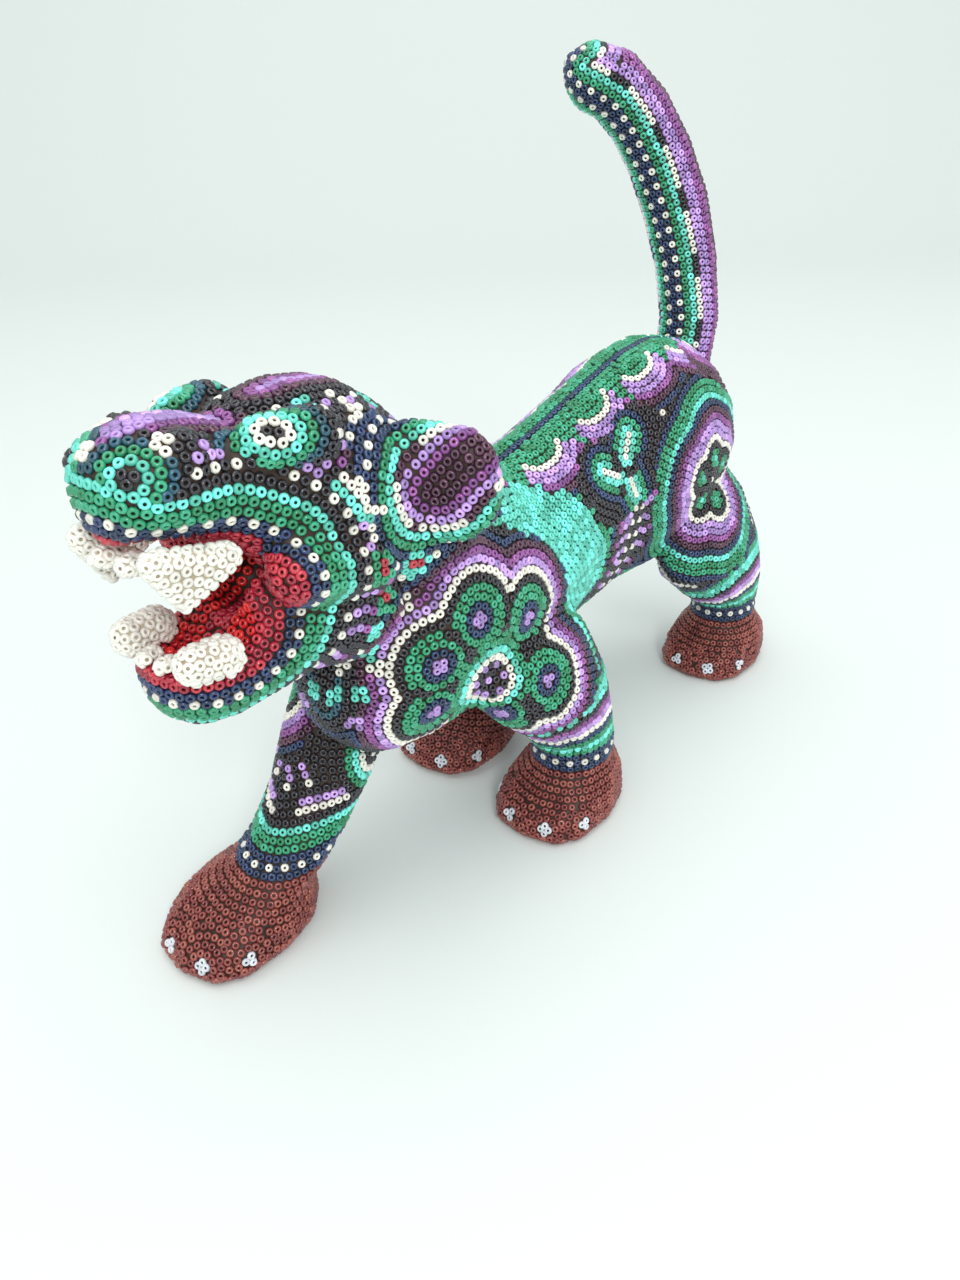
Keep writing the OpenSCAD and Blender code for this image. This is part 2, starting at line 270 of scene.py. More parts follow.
LIP = Motif(
    rows=rows(G.CRIMSON, G.NAVY, DOTS, G.GREEN, G.GREEN, G.TURQUOISE, G.BLACK,
              Rays(G.BLACK, G.CREAM, 2), Rays(G.BLACK, G.LILAC), Rays(G.BLACK, G.LILAC),
              Rays(G.BLACK, G.PURPLE), Rays(G.BLACK, G.PLUM), G.BLACK),
    inner=rows(G.CRIMSON, G.CRIMSON, G.CRIMSON, G.RED, G.RED, G.RED, G.CRIMSON, G.CRIMSON, G.RED,
               G.CRIMSON),
)
EYE = Motif(rows(G.BLACK, G.CREAM, G.TURQUOISE, G.GREEN, G.TEAL, G.BLACK,
                 Runs(((G.CREAM, 1), (G.BLACK, 2))), Runs(((G.LILAC, 1), (G.BLACK, 2))),
                 Runs(((G.PURPLE, 1), (G.BLACK, 2))), G.BLACK))
NOSTRIL = Motif(rows(G.BLACK, G.BLACK, G.TURQUOISE, G.GREEN, G.TEAL, G.BLACK))
NOSE_RIDGE = Motif(rows(G.LILAC, G.LILAC, G.PURPLE, G.PLUM, G.BLACK, Runs(((G.TEAL, 2), (G.CREAM, 1))),
                        G.BLACK))
CROWN = Motif(rows(G.LILAC, G.PURPLE, G.PLUM, G.BLACK, Runs(((G.CREAM, 1), (G.BLACK, 2))),
                   Runs(((G.LILAC, 1), (G.BLACK, 2))), G.BLACK))
EAR = Motif(rows(G.PLUM, G.PLUM, G.PURPLE, G.LILAC, Runs(((G.CREAM, 5), (G.PLUM, 4))), G.TURQUOISE,
                 G.GREEN, G.NAVY, DOTS, G.NAVY, DOTS, G.BLACK))
DISC = Motif(rows(G.LILAC, G.BLACK, Runs(((G.LILAC, 1), (G.BLACK, 1))), G.CREAM, G.TURQUOISE, G.GREEN,
                  G.GREEN))
PETAL = Motif(
    rows=scallops(G.LILAC, G.LILAC, G.NAVY, G.GREEN, G.GREEN, G.BLACK, G.CREAM, G.LILAC, G.PURPLE,
                  G.PLUM),
    seam=G.BLACK, seam_rows=(4, 4),
)
HAUNCH_HEART = Motif(rows(G.CREAM, G.BLACK, G.BLACK))
HAUNCH_PETAL = Motif(
    rows=rows(G.TURQUOISE, G.GREEN, G.BLACK, G.CREAM, G.LILAC, G.LILAC, G.PURPLE, G.PLUM, G.NAVY,
              G.TURQUOISE, G.GREEN, G.GREEN, G.NAVY, G.BLACK, G.CREAM, G.LILAC, G.PURPLE, G.PLUM, G.BLACK),
    seam=G.BLACK, seam_rows=(1, 2),
)
SADDLE = Motif(rows(G.TURQUOISE, G.TURQUOISE, G.TURQUOISE, G.TURQUOISE, G.TURQUOISE, G.TURQUOISE, G.GREEN,
                    G.GREEN, G.NAVY, Runs(((G.NAVY, 3), (G.TEAL, 1))), G.BLACK))
SCALE = Motif(rows(G.GREEN, G.GREEN, G.GREEN, G.CREAM, G.LILAC, G.LILAC, G.PURPLE, G.PLUM, G.NAVY, G.TEAL,
                   G.BLACK))
SPINE = Motif(rows(G.NAVY, G.GREEN, G.GREEN, G.GREEN))
TREFOIL = Motif(rows(G.CREAM, G.TURQUOISE, G.GREEN, G.NAVY, G.BLACK), seam=G.BLACK, seam_rows=(1, 2))
FLANK = Motif(rows(G.BLACK, Rays(G.BLACK, G.CREAM, 2), Rays(G.BLACK, G.LILAC), Rays(G.BLACK, G.LILAC),
                   Rays(G.BLACK, G.PURPLE), Rays(G.BLACK, G.PLUM), G.NAVY))
TAIL_FRONT = Motif(rows(G.NAVY, DOTS, G.GREEN, G.TURQUOISE, Runs(((G.CREAM, 6), (G.BLACK, 3))), G.LILAC,
                        G.LILAC, G.PURPLE, G.PURPLE, G.PLUM))
ANKLET = Motif(
    rows=rows(DOTS, G.NAVY, G.GREEN, G.TURQUOISE, G.GREEN, G.NAVY, G.CREAM, G.LILAC, G.PURPLE, G.BLACK,
              G.TURQUOISE, G.TURQUOISE, G.GREEN, G.NAVY, G.BLACK),
    inner=rows(DOTS, G.NAVY, G.MAROON),
)
RAYED_ANKLET = Motif(
    rows=rows(DOTS, G.NAVY, G.GREEN, G.GREEN, G.TURQUOISE, G.BLACK, Runs(((G.CREAM, 7), (G.BLACK, 3))),
              Runs(((G.LILAC, 6), (G.BLACK, 4))), G.BLACK, Rays(G.BLACK, G.CREAM, 3),
              Rays(G.BLACK, G.LILAC), Rays(G.BLACK, G.LILAC), G.BLACK,
              Rays(G.BLACK, G.CREAM, 3), Rays(G.BLACK, G.LILAC), Rays(G.BLACK, G.PURPLE), G.BLACK),
    inner=rows(DOTS, G.NAVY, G.MAROON),
)
CLAW_QUAD = Motif(rows(G.CLAW, G.CLAW, G.MAROON))
LEG_EYE = Motif(rows(G.BLACK, G.CREAM, G.BLACK, G.CREAM, G.TURQUOISE, G.GREEN, G.BLACK))
BELLY = Motif(rows(G.NAVY, G.BLACK, G.BLACK, G.LILAC, G.PURPLE, G.BLACK, G.TURQUOISE, G.GREEN, G.NAVY))
CHEST = Motif(rows(G.BLACK, G.BLACK, G.TEAL, G.BLACK, G.BLACK, G.NAVY, G.BLACK))
WITHERS = Motif(rows(G.TURQUOISE, G.GREEN, G.NAVY, G.BLACK, G.CREAM, G.LILAC, G.PURPLE, G.PLUM, G.NAVY,
                     G.BLACK))
TOOTH = Motif(rows(G.TOOTH))


@dataclass(frozen=True)
class Seed:
    """A point or a line on the surface that rows grow from, in carver's millimetres.

    Args:
        motif: rows round it.
        path: one point, or the points of a line.
        start: distance that the seed itself counts as; QUAD_START makes a first ring of four beads.
        delay: rows that other seeds may lay before this one begins.
        twin: whether the right side has its mirror image.
    """

    motif: Motif
    path: tuple[tuple[float, float, float], ...]
    start: float = 0.0
    delay: int = 0
    twin: bool = True


def flower(centre: tuple[float, float, float], heart: Motif, petal: Motif,
           offsets: tuple[tuple[float, float], ...], start: float, delay: int) -> list[Seed]:
    """Seeds of a flower on the figure's side.

    Args:
        centre: its middle.
        heart: motif of the middle.
        petal: motif of a petal.
        offsets: petals' places from the middle, backwards and upwards.
        start: the petals' own start.
        delay: rows that the middle may lay before the petals begin.

    Returns:
        The middle's seed and the petals' seeds.
    """
    x, y, z = centre
    petals = [Seed(petal, ((x + 3, y + back, z + up),), start, delay) for back, up in offsets]
    return [Seed(heart, (centre,))] + petals


def ring_offsets(count: int, radius: float, first: float) -> tuple[tuple[float, float], ...]:
    """Places evenly round a middle."""
    turns = [math.radians(first + 360 * i / count) for i in range(count)]
    return tuple((radius * math.cos(a), radius * math.sin(a)) for a in turns)


PAW_PLACES = ((-20.5, 10.0), (21.0, 99.0), (-23.0, 107.0), (22.5, 203.5))
PAW_HALF = (17.0, 22.0)


CLAW_TURNS = (-150, -112, -68, -30)
CLAW_HEIGHT = 5.5


def claw_seeds() -> list[Seed]:
    """Four claws on the front of each paw."""
    seeds = []
    for x, y in PAW_PLACES:
        for degrees in CLAW_TURNS:
            a = math.radians(degrees)
            place = (x + PAW_HALF[0] * math.cos(a), y + PAW_HALF[1] * math.sin(a), CLAW_HEIGHT)
            seeds.append(Seed(CLAW_QUAD, (place,), QUAD_START, 3, False))
    return seeds


def all_seeds() -> list[Seed]:
    """Every seed of the figure's pattern."""
    head = [
        Seed(EYE, ((15.2, 9.6, 140.0), (16.4, 11.4, 139.4)), 0, 4),
        Seed(NOSTRIL, ((8.2, -14.0, 137.4),), QUAD_START, 2),
        Seed(NOSE_RIDGE, ((0, -9, 143.5), (0, 0, 144), (0, 9, 141)), 0, 5, False),
        Seed(CROWN, ((0, 22, 144), (0, 36, 141.5), (0, 50, 133)), 0, 4, False),
        Seed(EAR, ((25.3, 41.5, 120), (29, 45, 125.5), (32.5, 49.5, 129)), 0, 1),
    ]
    petals = ((-18.5, 12), (-4.5, 19.5), (14.5, 11), (17, -7), (-18.5, -5), (-3, -18))
    shoulder = flower((24, 60, 65), DISC, PETAL, petals, QUAD_START, 1)
    haunch = flower((26.5, 178, 78), HAUNCH_HEART, HAUNCH_PETAL, ring_offsets(5, 8, 90), 0, 0)
    trunk = [
        Seed(SADDLE, ((15.5, 87, 101), (19, 98, 89), (20.5, 111, 71)), 0, 7),
        Seed(TREFOIL, ((18.6, 129.5, 93.5), (17.6, 124.5, 96.5)), 0, 7),
        Seed(TREFOIL, ((18, 135, 97.5), (16.8, 139.5, 102.5)), 0, 7),
        Seed(TREFOIL, ((19.6, 135.5, 90.5), (20.2, 138, 85.5)), 0, 7),
        Seed(FLANK, ((18, 133, 52), (19.3, 137, 66), (20.3, 139, 80)), 0, 7),
        Seed(CHEST, ((0, 33, 88), (0, 31, 68)), 0, 6, False),
        Seed(BELLY, ((0, 60, 46), (0, 84, 46)), 0, 4, False),
        Seed(BELLY, ((0, 118, 47), (0, 150, 47)), 0, 4, False),
        Seed(WITHERS, ((0, 60, 113), (0, 80, 108)), 0, 4, False),
    ]
    back = [Seed(SCALE, ((4.5, y - 2, z), (4.5, y + 2, z)), 0, 5)
            for y, z in ((107, 106), (132, 112), (157, 118), (182, 118))]
    ridge = ((96, 105), (118, 109.5), (142, 115.5), (165, 120), (192, 118))
    single = [
        Seed(SPINE, tuple((0, y, z) for y, z in ridge), 0, 5, False),
        Seed(LEG_EYE, ((-2.6, 46, 42),), QUAD_START, 1, False),
    ]
    return head + shoulder + haunch + trunk + back + single + claw_seeds()


@dataclass(frozen=True)
class Accent:
    """A few beads of other colours in a plain ground: the nearest ones to a place or a line.

    Args:
        colours: colour and number of beads, from the middle outwards.
        path: one place, or the two ends of a line.
        twin: whether the right side has its mirror image.
    """

    colours: tuple[tuple[Glass, int], ...]
    path: tuple[tuple[float, float, float], ...]
    twin: bool = True


def quad(colour: Glass, *place: float, twin: bool = True) -> Accent:
    """Four beads."""
    return Accent(((colour, 4),), (place,), twin)


def leaf(colour: Glass, x: float, y: float, z: float) -> Accent:
    """Two red beads with a ring round them."""
    return Accent(((G.CRIMSON, 2), (colour, 8)), ((x, y, z + 1.3), (x, y, z - 1.3)))


ACCENTS = (
    quad(G.CREAM, 8.2, -6.3, 142.0), quad(G.CREAM, -2.5, -14.5, 140.8, twin=False),
    quad(G.TURQUOISE, 7.5, 43, 136), quad(G.TURQUOISE, 10.5, 24, 143), quad(G.CREAM, 13, 34, 138.5),
    quad(G.CREAM, 16, 40.5, 93), leaf(G.GREEN, 21.5, 28, 108), leaf(G.TURQUOISE, 21.2, 40.1, 102.5),
    leaf(G.GREEN, 17.5, 33, 98), quad(G.TURQUOISE, 16, 30, 91), quad(G.TURQUOISE, 11, 33, 84),
    quad(G.CREAM, 12, 35, 78), quad(G.TURQUOISE, 9, 33, 72), quad(G.CREAM, 5, 31, 79),
    quad(G.CREAM, 4, 31, 92), quad(G.LILAC, 7, 32, 64), quad(G.TURQUOISE, 2.5, 30, 70),
    Accent(((G.TURQUOISE, 6),), ((20.2, 19.5, 128), (22.3, 27, 117.5))),
    Accent(((G.CREAM, 7),), ((20.9, 22, 129), (22.8, 29.5, 118.5))),
)


MOUTH_OUTLINE = ((-40, 128.5), (-20, 126.6), (-12.7, 125.8), (-5.4, 124.2), (2.5, 122.6), (8.4, 119.4),
                 (10, 112.5), (10.2, 105), (7.5, 98), (1.8, 93.8), (-4.5, 93.2), (-12, 94.3), (-17, 96.1),
                 (-40, 97.7))
THROAT = ((0.0, 2.0, 110.0), (0.0, 13.0, 107.0))
THROAT_RADII = (11.5, 10.0)
MOUTH_BACK = 40
RIM = -1.1
OFF_RIM = 99.0
ANKLET_HEIGHT = 21.6
TAIL_STATIONS = ((0, 203, 106, 9.6), (-0.6, 207.3, 120, 9.7), (-4.3, 209, 137, 10), (-9, 208.3, 153, 10.6),
                 (-13.5, 204.3, 167, 10.4), (-18.5, 198.2, 179, 10.2), (-23.4, 191.4, 186.6, 10.2),
                 (-28.6, 184.8, 189, 9.6))
TAIL_END = ((-33.5, 178.7, 188.5), (-31.0, 181.0, 197.0))
TAIL_FRONT_SIDE = (0, -1, -0.35)
BACK_LENGTH = (96, 190)
BACK_LOWEST = 100
BACK_STRIP = 3.5


def carver(points: np.ndarray) -> np.ndarray:
    """Frame metres turned into carver's millimetres."""
    return np.asarray(points, float) / MM + CARVER_ORIGIN


def framed(points: np.ndarray) -> np.ndarray:
    """Carver's millimetres turned into frame metres."""
    return (np.asarray(points, float) - CARVER_ORIGIN) * MM


def unit(v: np.ndarray) -> np.ndarray:
    """Vectors scaled to length 1."""
    return v / np.maximum(np.linalg.norm(v, axis=-1, keepdims=True), TINY)


def from_segment(points: np.ndarray, a: np.ndarray, b: np.ndarray) -> tuple[np.ndarray, np.ndarray]:
    """Distances of points from a segment, and how far along it the nearest places lie, 0 to 1."""
    span = b - a
    t = np.clip((points - a) @ span / max(float(span @ span), TINY), 0, 1)
    return np.linalg.norm(points - a - t[:, None] * span, axis=1), t


def point_tree(places: list[np.ndarray]) -> KDTree:
    """Search tree over places."""
    tree = KDTree(len(places))
    for n, place in enumerate(places):
        tree.insert(Vector(place), n)
    tree.balance()
    return tree


def linked(name: str, data: bpy.types.ID) -> bpy.types.Object:
    """A new object in the scene."""
    made = bpy.data.objects.new(name, data)
    bpy.context.scene.collection.objects.link(made)
    return made


def select_only(piece: bpy.types.Object) -> None:
    """Makes one object the only selected and the active one."""
    for other in bpy.context.selected_objects:
        other.select_set(False)
    piece.select_set(True)
    bpy.context.view_layer.objects.active = piece


def triangle_arrays(piece: bpy.types.Object) -> tuple[np.ndarray, np.ndarray]:
    """Vertices in carver's millimetres and triangles of an object."""
    mesh = piece.data
    mesh.calc_loop_triangles()
    verts = np.empty(len(mesh.vertices) * 3)
    mesh.vertices.foreach_get("co", verts)
    tris = np.empty(len(mesh.loop_triangles) * 3, np.int64)
    mesh.loop_triangles.foreach_get("vertices", tris)
    return carver(verts.reshape(-1, 3)), tris.reshape(-1, 3)


def closed_skin(name: str, nodes: list[bpy.types.Object], voxel: float, smoothing: int) -> bpy.types.Object:
    """One smooth closed mesh over several CAD nodes.

    Args:
        name: the new object's name.
        nodes: CAD nodes that it covers; they stay as they are.
        voxel: cell size in metres.
        smoothing: rounds of smoothing.

    Returns:
        The new object.
    """
    copies = []
    for node in nodes:
        copies.append(linked(name, node.data.copy()))
    select_only(copies[0])
    for copy in copies[1:]:
        copy.select_set(True)
    bpy.ops.object.join()
    skin = bpy.context.view_layer.objects.active
    skin.name = name
    skin.data.materials.clear()
    remesh = skin.modifiers.new("Remesh", "REMESH")
    remesh.mode = "VOXEL"
    remesh.voxel_size = voxel
    bpy.ops.object.modifier_apply(modifier=remesh.name)
    smooth = skin.modifiers.new("Smooth", "SMOOTH")
    smooth.factor = 0.5
    smooth.iterations = smoothing
    bpy.ops.object.modifier_apply(modifier=smooth.name)
    return skin


class Surface:
    """Triangles of a smooth skin, with distances and rows that run over them."""

    def __init__(self, verts: np.ndarray, tris: np.ndarray) -> None:
        """Keeps the outer shell only and prepares the corner tables."""
        self.verts, self.tris = self._outer_shell(verts, tris)
        p = self.verts[self.tris]
        face = np.cross(p[:, 1] - p[:, 0], p[:, 2] - p[:, 0])
        self.normals = np.zeros_like(self.verts)
        for c in range(3):
            np.add.at(self.normals, self.tris[:, c], face)
        self.normals = unit(self.normals)
        order = [(0, 1, 2), (1, 2, 0), (2, 0, 1)]
        self.i = np.concatenate([self.tris[:, a] for a, _, _ in order])
        self.j = np.concatenate([self.tris[:, b] for _, b, _ in order])
        self.k = np.concatenate([self.tris[:, c] for _, _, c in order])
        a = self.verts[self.j] - self.verts[self.i]
        b = self.verts[self.k] - self.verts[self.i]
        aa, ab, bb = (a * a).sum(1), (a * b).sum(1), (b * b).sum(1)
        det = np.maximum(aa * bb - ab * ab, TINY)
        self.q = (bb / det, -ab / det, aa / det)
        self.edge_lengths = (np.sqrt(aa), np.sqrt(bb))
        pairs = np.sort(np.concatenate([self.tris[:, [0, 1]], self.tris[:, [1, 2]], self.tris[:, [2, 0]]]), 1)
        self.edges, inverse = np.unique(pairs, axis=0, return_inverse=True)
        self.tri_edges = inverse.reshape(3, -1).T
        self.tree = BVHTree.FromPolygons([tuple(v) for v in self.verts], [tuple(t) for t in self.tris])

    @staticmethod
    def _outer_shell(verts: np.ndarray, tris: np.ndarray) -> tuple[np.ndarray, np.ndarray]:
        """Loose parts whose normals point outwards: hollows inside the body are dropped."""
        mark = np.arange(len(verts))
        while True:
            low = mark[tris].min(1)
            new = mark.copy()
            for c in range(3):
                np.minimum.at(new, tris[:, c], low)
            new = new[new]
            if (new == mark).all():
                break
            mark = new
        p = verts[tris]
        volume = np.einsum("ij,ij->i", p[:, 0], np.cross(p[:, 1], p[:, 2])) / 6
        keep = np.zeros(len(tris), bool)
        for part in np.unique(mark[tris[:, 0]]):
            own = mark[tris[:, 0]] == part
            if volume[own].sum() > 1:
                keep |= own
        tris = tris[keep]
        used = np.unique(tris)
        back = np.full(len(verts), -1)
        back[used] = np.arange(len(used))
        return verts[used], back[tris]

    def nearest(self, point: np.ndarray) -> tuple[np.ndarray, np.ndarray]:
        """Closest point on the skin and the smooth normal there."""
        place, _, index, _ = self.tree.find_nearest(Vector(point))
        near = self.tris[index]
        weight = 1 / (np.linalg.norm(self.verts[near] - np.array(place), axis=1) + 1e-3)
        return np.array(place), unit((self.normals[near] * weight[:, None]).sum(0))

    def level_start(self, value: np.ndarray, level: float) -> dict[int, float]:
        """Distances from a level line of a value, for the vertices right beside it."""
        v = value[self.tris]
        cut = (v.min(1) < level) & (v.max(1) >= level)
        found: dict[int, float] = {}
        for t in np.nonzero(cut)[0]:
            p, w = self.verts[self.tris[t]], value[self.tris[t]]
            a, b = p[1] - p[0], p[2] - p[0]
            gram = np.array([[a @ a, a @ b], [a @ b, b @ b]])
            slope = np.linalg.solve(gram, np.array([w[1] - w[0], w[2] - w[0]]))
            steep = max(float(np.linalg.norm(slope[0] * a + slope[1] * b)), 1e-3)
            for vertex, x in zip(self.tris[t], w):
                away = abs(float(x) - level) / steep
                found[int(vertex)] = min(found.get(int(vertex), UNREACHED), away)
        return found

    def spread(self, distance: np.ndarray, label: np.ndarray) -> None:
        """Carries distances and labels over the whole skin, in place."""
        changed = distance < REACHED
        q11, q12, q22 = self.q
        lj, lk = self.edge_lengths
        while changed.any():
            near = np.nonzero(changed[self.j] | changed[self.k])[0]
            i, j, k = self.i[near], self.j[near], self.k[near]
            dj, dk = distance[j], distance[k]
            a, b, c = q11[near], q12[near], q22[near]
            s1, s2 = a * dj + b * dk, b * dj + c * dk
            whole, half = a + 2 * b + c, s1 + s2
            inside = half * half - whole * (dj * s1 + dk * s2 - 1)
            through = (half + np.sqrt(np.maximum(inside, 0))) / whole
            w1 = -(a * (dj - through) + b * (dk - through))
            w2 = -(b * (dj - through) + c * (dk - through))
            good = (inside >= 0) & (w1 > 0) & (w2 > 0) & (dj < REACHED) & (dk < REACHED)
            ej, ek = dj + lj[near], dk + lk[near]
            value = np.where(good, through, np.minimum(ej, ek))
            better = value < distance[i] - NUDGE
            if not better.any():
                break
            pick = np.nonzero(better)[0]
            pick = pick[np.lexsort((value[pick], i[pick]))]
            pick = pick[np.concatenate([[True], i[pick][1:] != i[pick][:-1]])]
            i, j, k, value = i[pick], j[pick], k[pick], value[pick]
            from_j = np.where(good[pick], dj[pick] <= dk[pick], ej[pick] <= ek[pick])
            source = np.where(from_j, j, k)
            label[i] = label[source]
            distance[i] = value
            changed = np.zeros(len(distance), bool)
            changed[i] = True

    def level_lines(self, distance: np.ndarray, level: float) -> list[tuple[np.ndarray, np.ndarray]]:
        """Closed lines of one distance.

        Args:
            distance: value at every vertex.
            level: the distance wanted.

        Returns:
            For each line the edges that it crosses, in order, and how far along each edge.
        """
        d = distance[self.tris]
        cut = np.nonzero((d.min(1) < level) & (d.max(1) >= level))[0]
        above = distance >= level
        ends: dict[int, list[int]] = {}
        for t in cut:
            crossed = [int(e) for e in self.tri_edges[t]
                       if above[self.edges[e, 0]] != above[self.edges[e, 1]]]
            if len(crossed) == 2:
                ends.setdefault(crossed[0], []).append(crossed[1])
                ends.setdefault(crossed[1], []).append(crossed[0])
        lines = []
        seen: set[int] = set()
        for first in ends:
            if first in seen:
                continue
            chain = [first]
            seen.add(first)
            while True:
                step = [e for e in ends[chain[-1]] if e not in seen]
                if not step:
                    break
                chain.append(step[0])
                seen.add(step[0])
            index = np.array(chain)
            low, high = distance[self.edges[index, 0]], distance[self.edges[index, 1]]
            lines.append((index, (level - low) / (high - low)))
        return lines


# ---------------------------------------------------------------- laying the beads

@dataclass
class Beads:
    """All beads laid so far."""

    places: list[np.ndarray] = field(default_factory=list)
    normals: list[np.ndarray] = field(default_factory=list)
    colours: list[Glass] = field(default_factory=list)
    regions: list[str] = field(default_factory=list)
    labels: list[int] = field(default_factory=list)
    ranks: list[int] = field(default_factory=list)
    cells: dict[tuple[int, int, int], list[int]] = field(default_factory=dict)

    @staticmethod
    def _cell(place: np.ndarray) -> tuple[int, int, int]:
        """The 2 mm cell that a place lies in."""
        x, y, z = (int(c) for c in np.floor(place / 2))
        return x, y, z

    def crowded(self, place: np.ndarray) -> bool:
        """Whether a bead already lies closer to a place than beads may lie."""
        x, y, z = self._cell(place)
        for dx, dy, dz in product((-1, 0, 1), repeat=3):
            for other in self.cells.get((x + dx, y + dy, z + dz), ()):
                away = self.places[other] - place
                if away @ away < CLOSEST * CLOSEST:
                    return True
        return False

    def add(self, place: np.ndarray, normal: np.ndarray, colour: Glass, region: str, label: int,
            rank: int) -> None:
        """Lays one bead."""
        self.cells.setdefault(self._cell(place), []).append(len(self.places))
        self.places.append(place)
        self.normals.append(normal)
        self.colours.append(colour)
        self.regions.append(region)
        self.labels.append(label)
        self.ranks.append(rank)


class Pattern:
    """Distances from all seeds over a surface, and the rows that follow them."""

    def __init__(self, surface: Surface, regions: np.ndarray) -> None:
        """Starts with no seed.

        Args:
            surface: the skin.
            regions: CAD node name for every vertex of it.
        """
        count = len(surface.verts)
        self.surface = surface
        self.regions = regions
        self.distance = np.full(count, UNREACHED)
        self.label = np.full(count, -1)
        self.motifs: list[Motif] = []
        self.starts: list[float] = []
        self.tips: dict[tuple[int, int], list[np.ndarray]] = {}
        self.centres: list[tuple[int, list[np.ndarray], list[np.ndarray]]] = []
        self.inner = np.zeros(count, bool)

    def _claim(self, vertices: np.ndarray, away: np.ndarray, label: int) -> None:
        """Gives vertices to a seed where it is nearer than what they have."""
        nearer = away < self.distance[vertices]
        own = vertices[nearer]
        self.distance[own] = away[nearer]
        self.label[own] = label

    def _new_label(self, motif: Motif, start: float) -> int:
        """Books a seed and returns its number."""
        self.motifs.append(motif)
        self.starts.append(start)
        return len(self.motifs) - 1

    def sow_point(self, seed: Seed, place: np.ndarray) -> None:
        """A point seed."""
        on, normal = self.surface.nearest(place)
        base = seed.start + seed.delay * PITCH
        label = self._new_label(seed.motif, seed.delay * PITCH)
        off = self.surface.verts - on
        away = np.linalg.norm(off, axis=1)
        near = np.nonzero((away < POINT_REACH) & (self.surface.normals @ normal > SAME_SIDE))[0]
        self._claim(near, away[near] + base, label)
        if seed.start == 0:
            self.centres.append((label, [on], [normal]))

    def sow_line(self, seed: Seed, path: np.ndarray) -> None:
        """A line seed."""
        steps = np.linalg.norm(np.diff(path, axis=0), axis=1)
        reach = np.concatenate([[0], np.cumsum(steps)])
        count = max(2, int(round(reach[-1] / PITCH)) + 1)
        label = self._new_label(seed.motif, seed.delay * PITCH)
        fine = np.linspace(0, reach[-1], count * 4 - 3)
        laid = [self.surface.nearest(np.array([np.interp(s, reach, path[:, c]) for c in range(3)]))
                for s in fine]
        spots = np.array([p for p, _ in laid])
        normals = np.array([n for _, n in laid])
        base = seed.start + seed.delay * PITCH
        off = self.surface.verts[:, None, :] - spots[None, ::2, :]
        away_all = np.linalg.norm(off, axis=2)
        best = away_all.argmin(1) * 2
        a = spots[np.maximum(best - 1, 0)]
        b = spots[np.minimum(best + 1, len(spots) - 1)]
        span = b - a
        from_a = self.surface.verts - a
        t = np.clip((from_a * span).sum(1) / np.maximum((span * span).sum(1), TINY), 0, 1)
        away = np.linalg.norm(from_a - t[:, None] * span, axis=1)
        facing = (self.surface.normals * normals[best]).sum(1) > SAME_SIDE
        near = np.nonzero((away < LINE_REACH) & facing)[0]
        self._claim(near, away[near] + base, label)
        if seed.start == 0:
            self.centres.append((label, list(spots[::4]), list(normals[::4])))

    def sow(self, seed: Seed) -> None:
        """A seed and, if it has one, its twin on the right side."""
        path = np.array(seed.path, float)
        sides = (1, -1) if seed.twin and np.abs(path[:, 0]).max() > 0.5 else (1,)
        for side in sides:
            own = path * np.array([side, 1, 1])
            if len(own) == 1:
                self.sow_point(seed, own[0])
            else:
                self.sow_line(seed, own)

    def sow_level(self, motif: Motif, value: np.ndarray, level: float) -> None:
        """A rim: the line where a value passes a level, with its own rows on the inner side.

        Args:
            motif: rows on both sides.
            value: value at every vertex.
            level: where the rim lies; lower values are the inner side.
        """
        label = self._new_label(motif, 0.0)
        found = self.surface.level_start(value, level)
        near = np.array(sorted(found))
        self._claim(near, np.array([found[int(v)] for v in near]), label)
        self.inner |= value < level
        for index, share in self.surface.level_lines(value, level):
            places, normals, _, _ = self._on_edges(index, share)
            picks = even_steps(places)
            spots = [sample(places, at) for at in picks]
            self.centres.append((label, spots, [unit(sample(normals, at)) for at in picks]))

    def _on_edges(self, index: np.ndarray, share: np.ndarray) -> tuple:
        """Places, normals, labels and nearest vertices where a line crosses its edges."""
        a, b = self.surface.edges[index, 0], self.surface.edges[index, 1]
        t = share[:, None]
        places = self.surface.verts[a] * (1 - t) + self.surface.verts[b] * t
        normals = unit(self.surface.normals[a] * (1 - t) + self.surface.normals[b] * t)
        closer = np.where(share < 0.5, a, b)
        return places, normals, self.label[closer], closer

    def lay(self, beads: Beads) -> None:
        """Lays all rows, the nearest to the seeds first, then fills what is left bare."""
        self._lay_centres(beads)
        highest = int(self.distance[self.distance < REACHED].max() / PITCH)
        for k in range(1, highest + 1):
            for index, share in self.surface.level_lines(self.distance, k * PITCH + NUDGE):
                self._lay_line(beads, index, share, k)
        self._fill(beads)
        self._cut_seams(beads)

    def _lay_centres(self, beads: Beads) -> None:
        """Beads on the seeds themselves, where no other seed's rows have come first."""
        for label, spots, facing in self.centres:
            if len(spots) == 0:
                continue
            paint = self.motifs[label].rows[0].paint(Line(np.array(spots), np.arange(len(spots))))
            for place, normal, colour in zip(spots, facing, paint):
                vertex = self._closest_vertex(place)
                own = abs(self.distance[vertex] - self.starts[label]) < CENTRE_SLACK
                if own and not beads.crowded(place):
                    beads.add(place, normal, colour, str(self.regions[vertex]), label, 0)

    def _closest_vertex(self, place: np.ndarray) -> int:
        """Nearest of the three corners of the face under a place."""
        _, _, index, _ = self.surface.tree.find_nearest(Vector(place))
        near = self.surface.tris[index]
        return int(near[np.argmin(np.linalg.norm(self.surface.verts[near] - place, axis=1))])

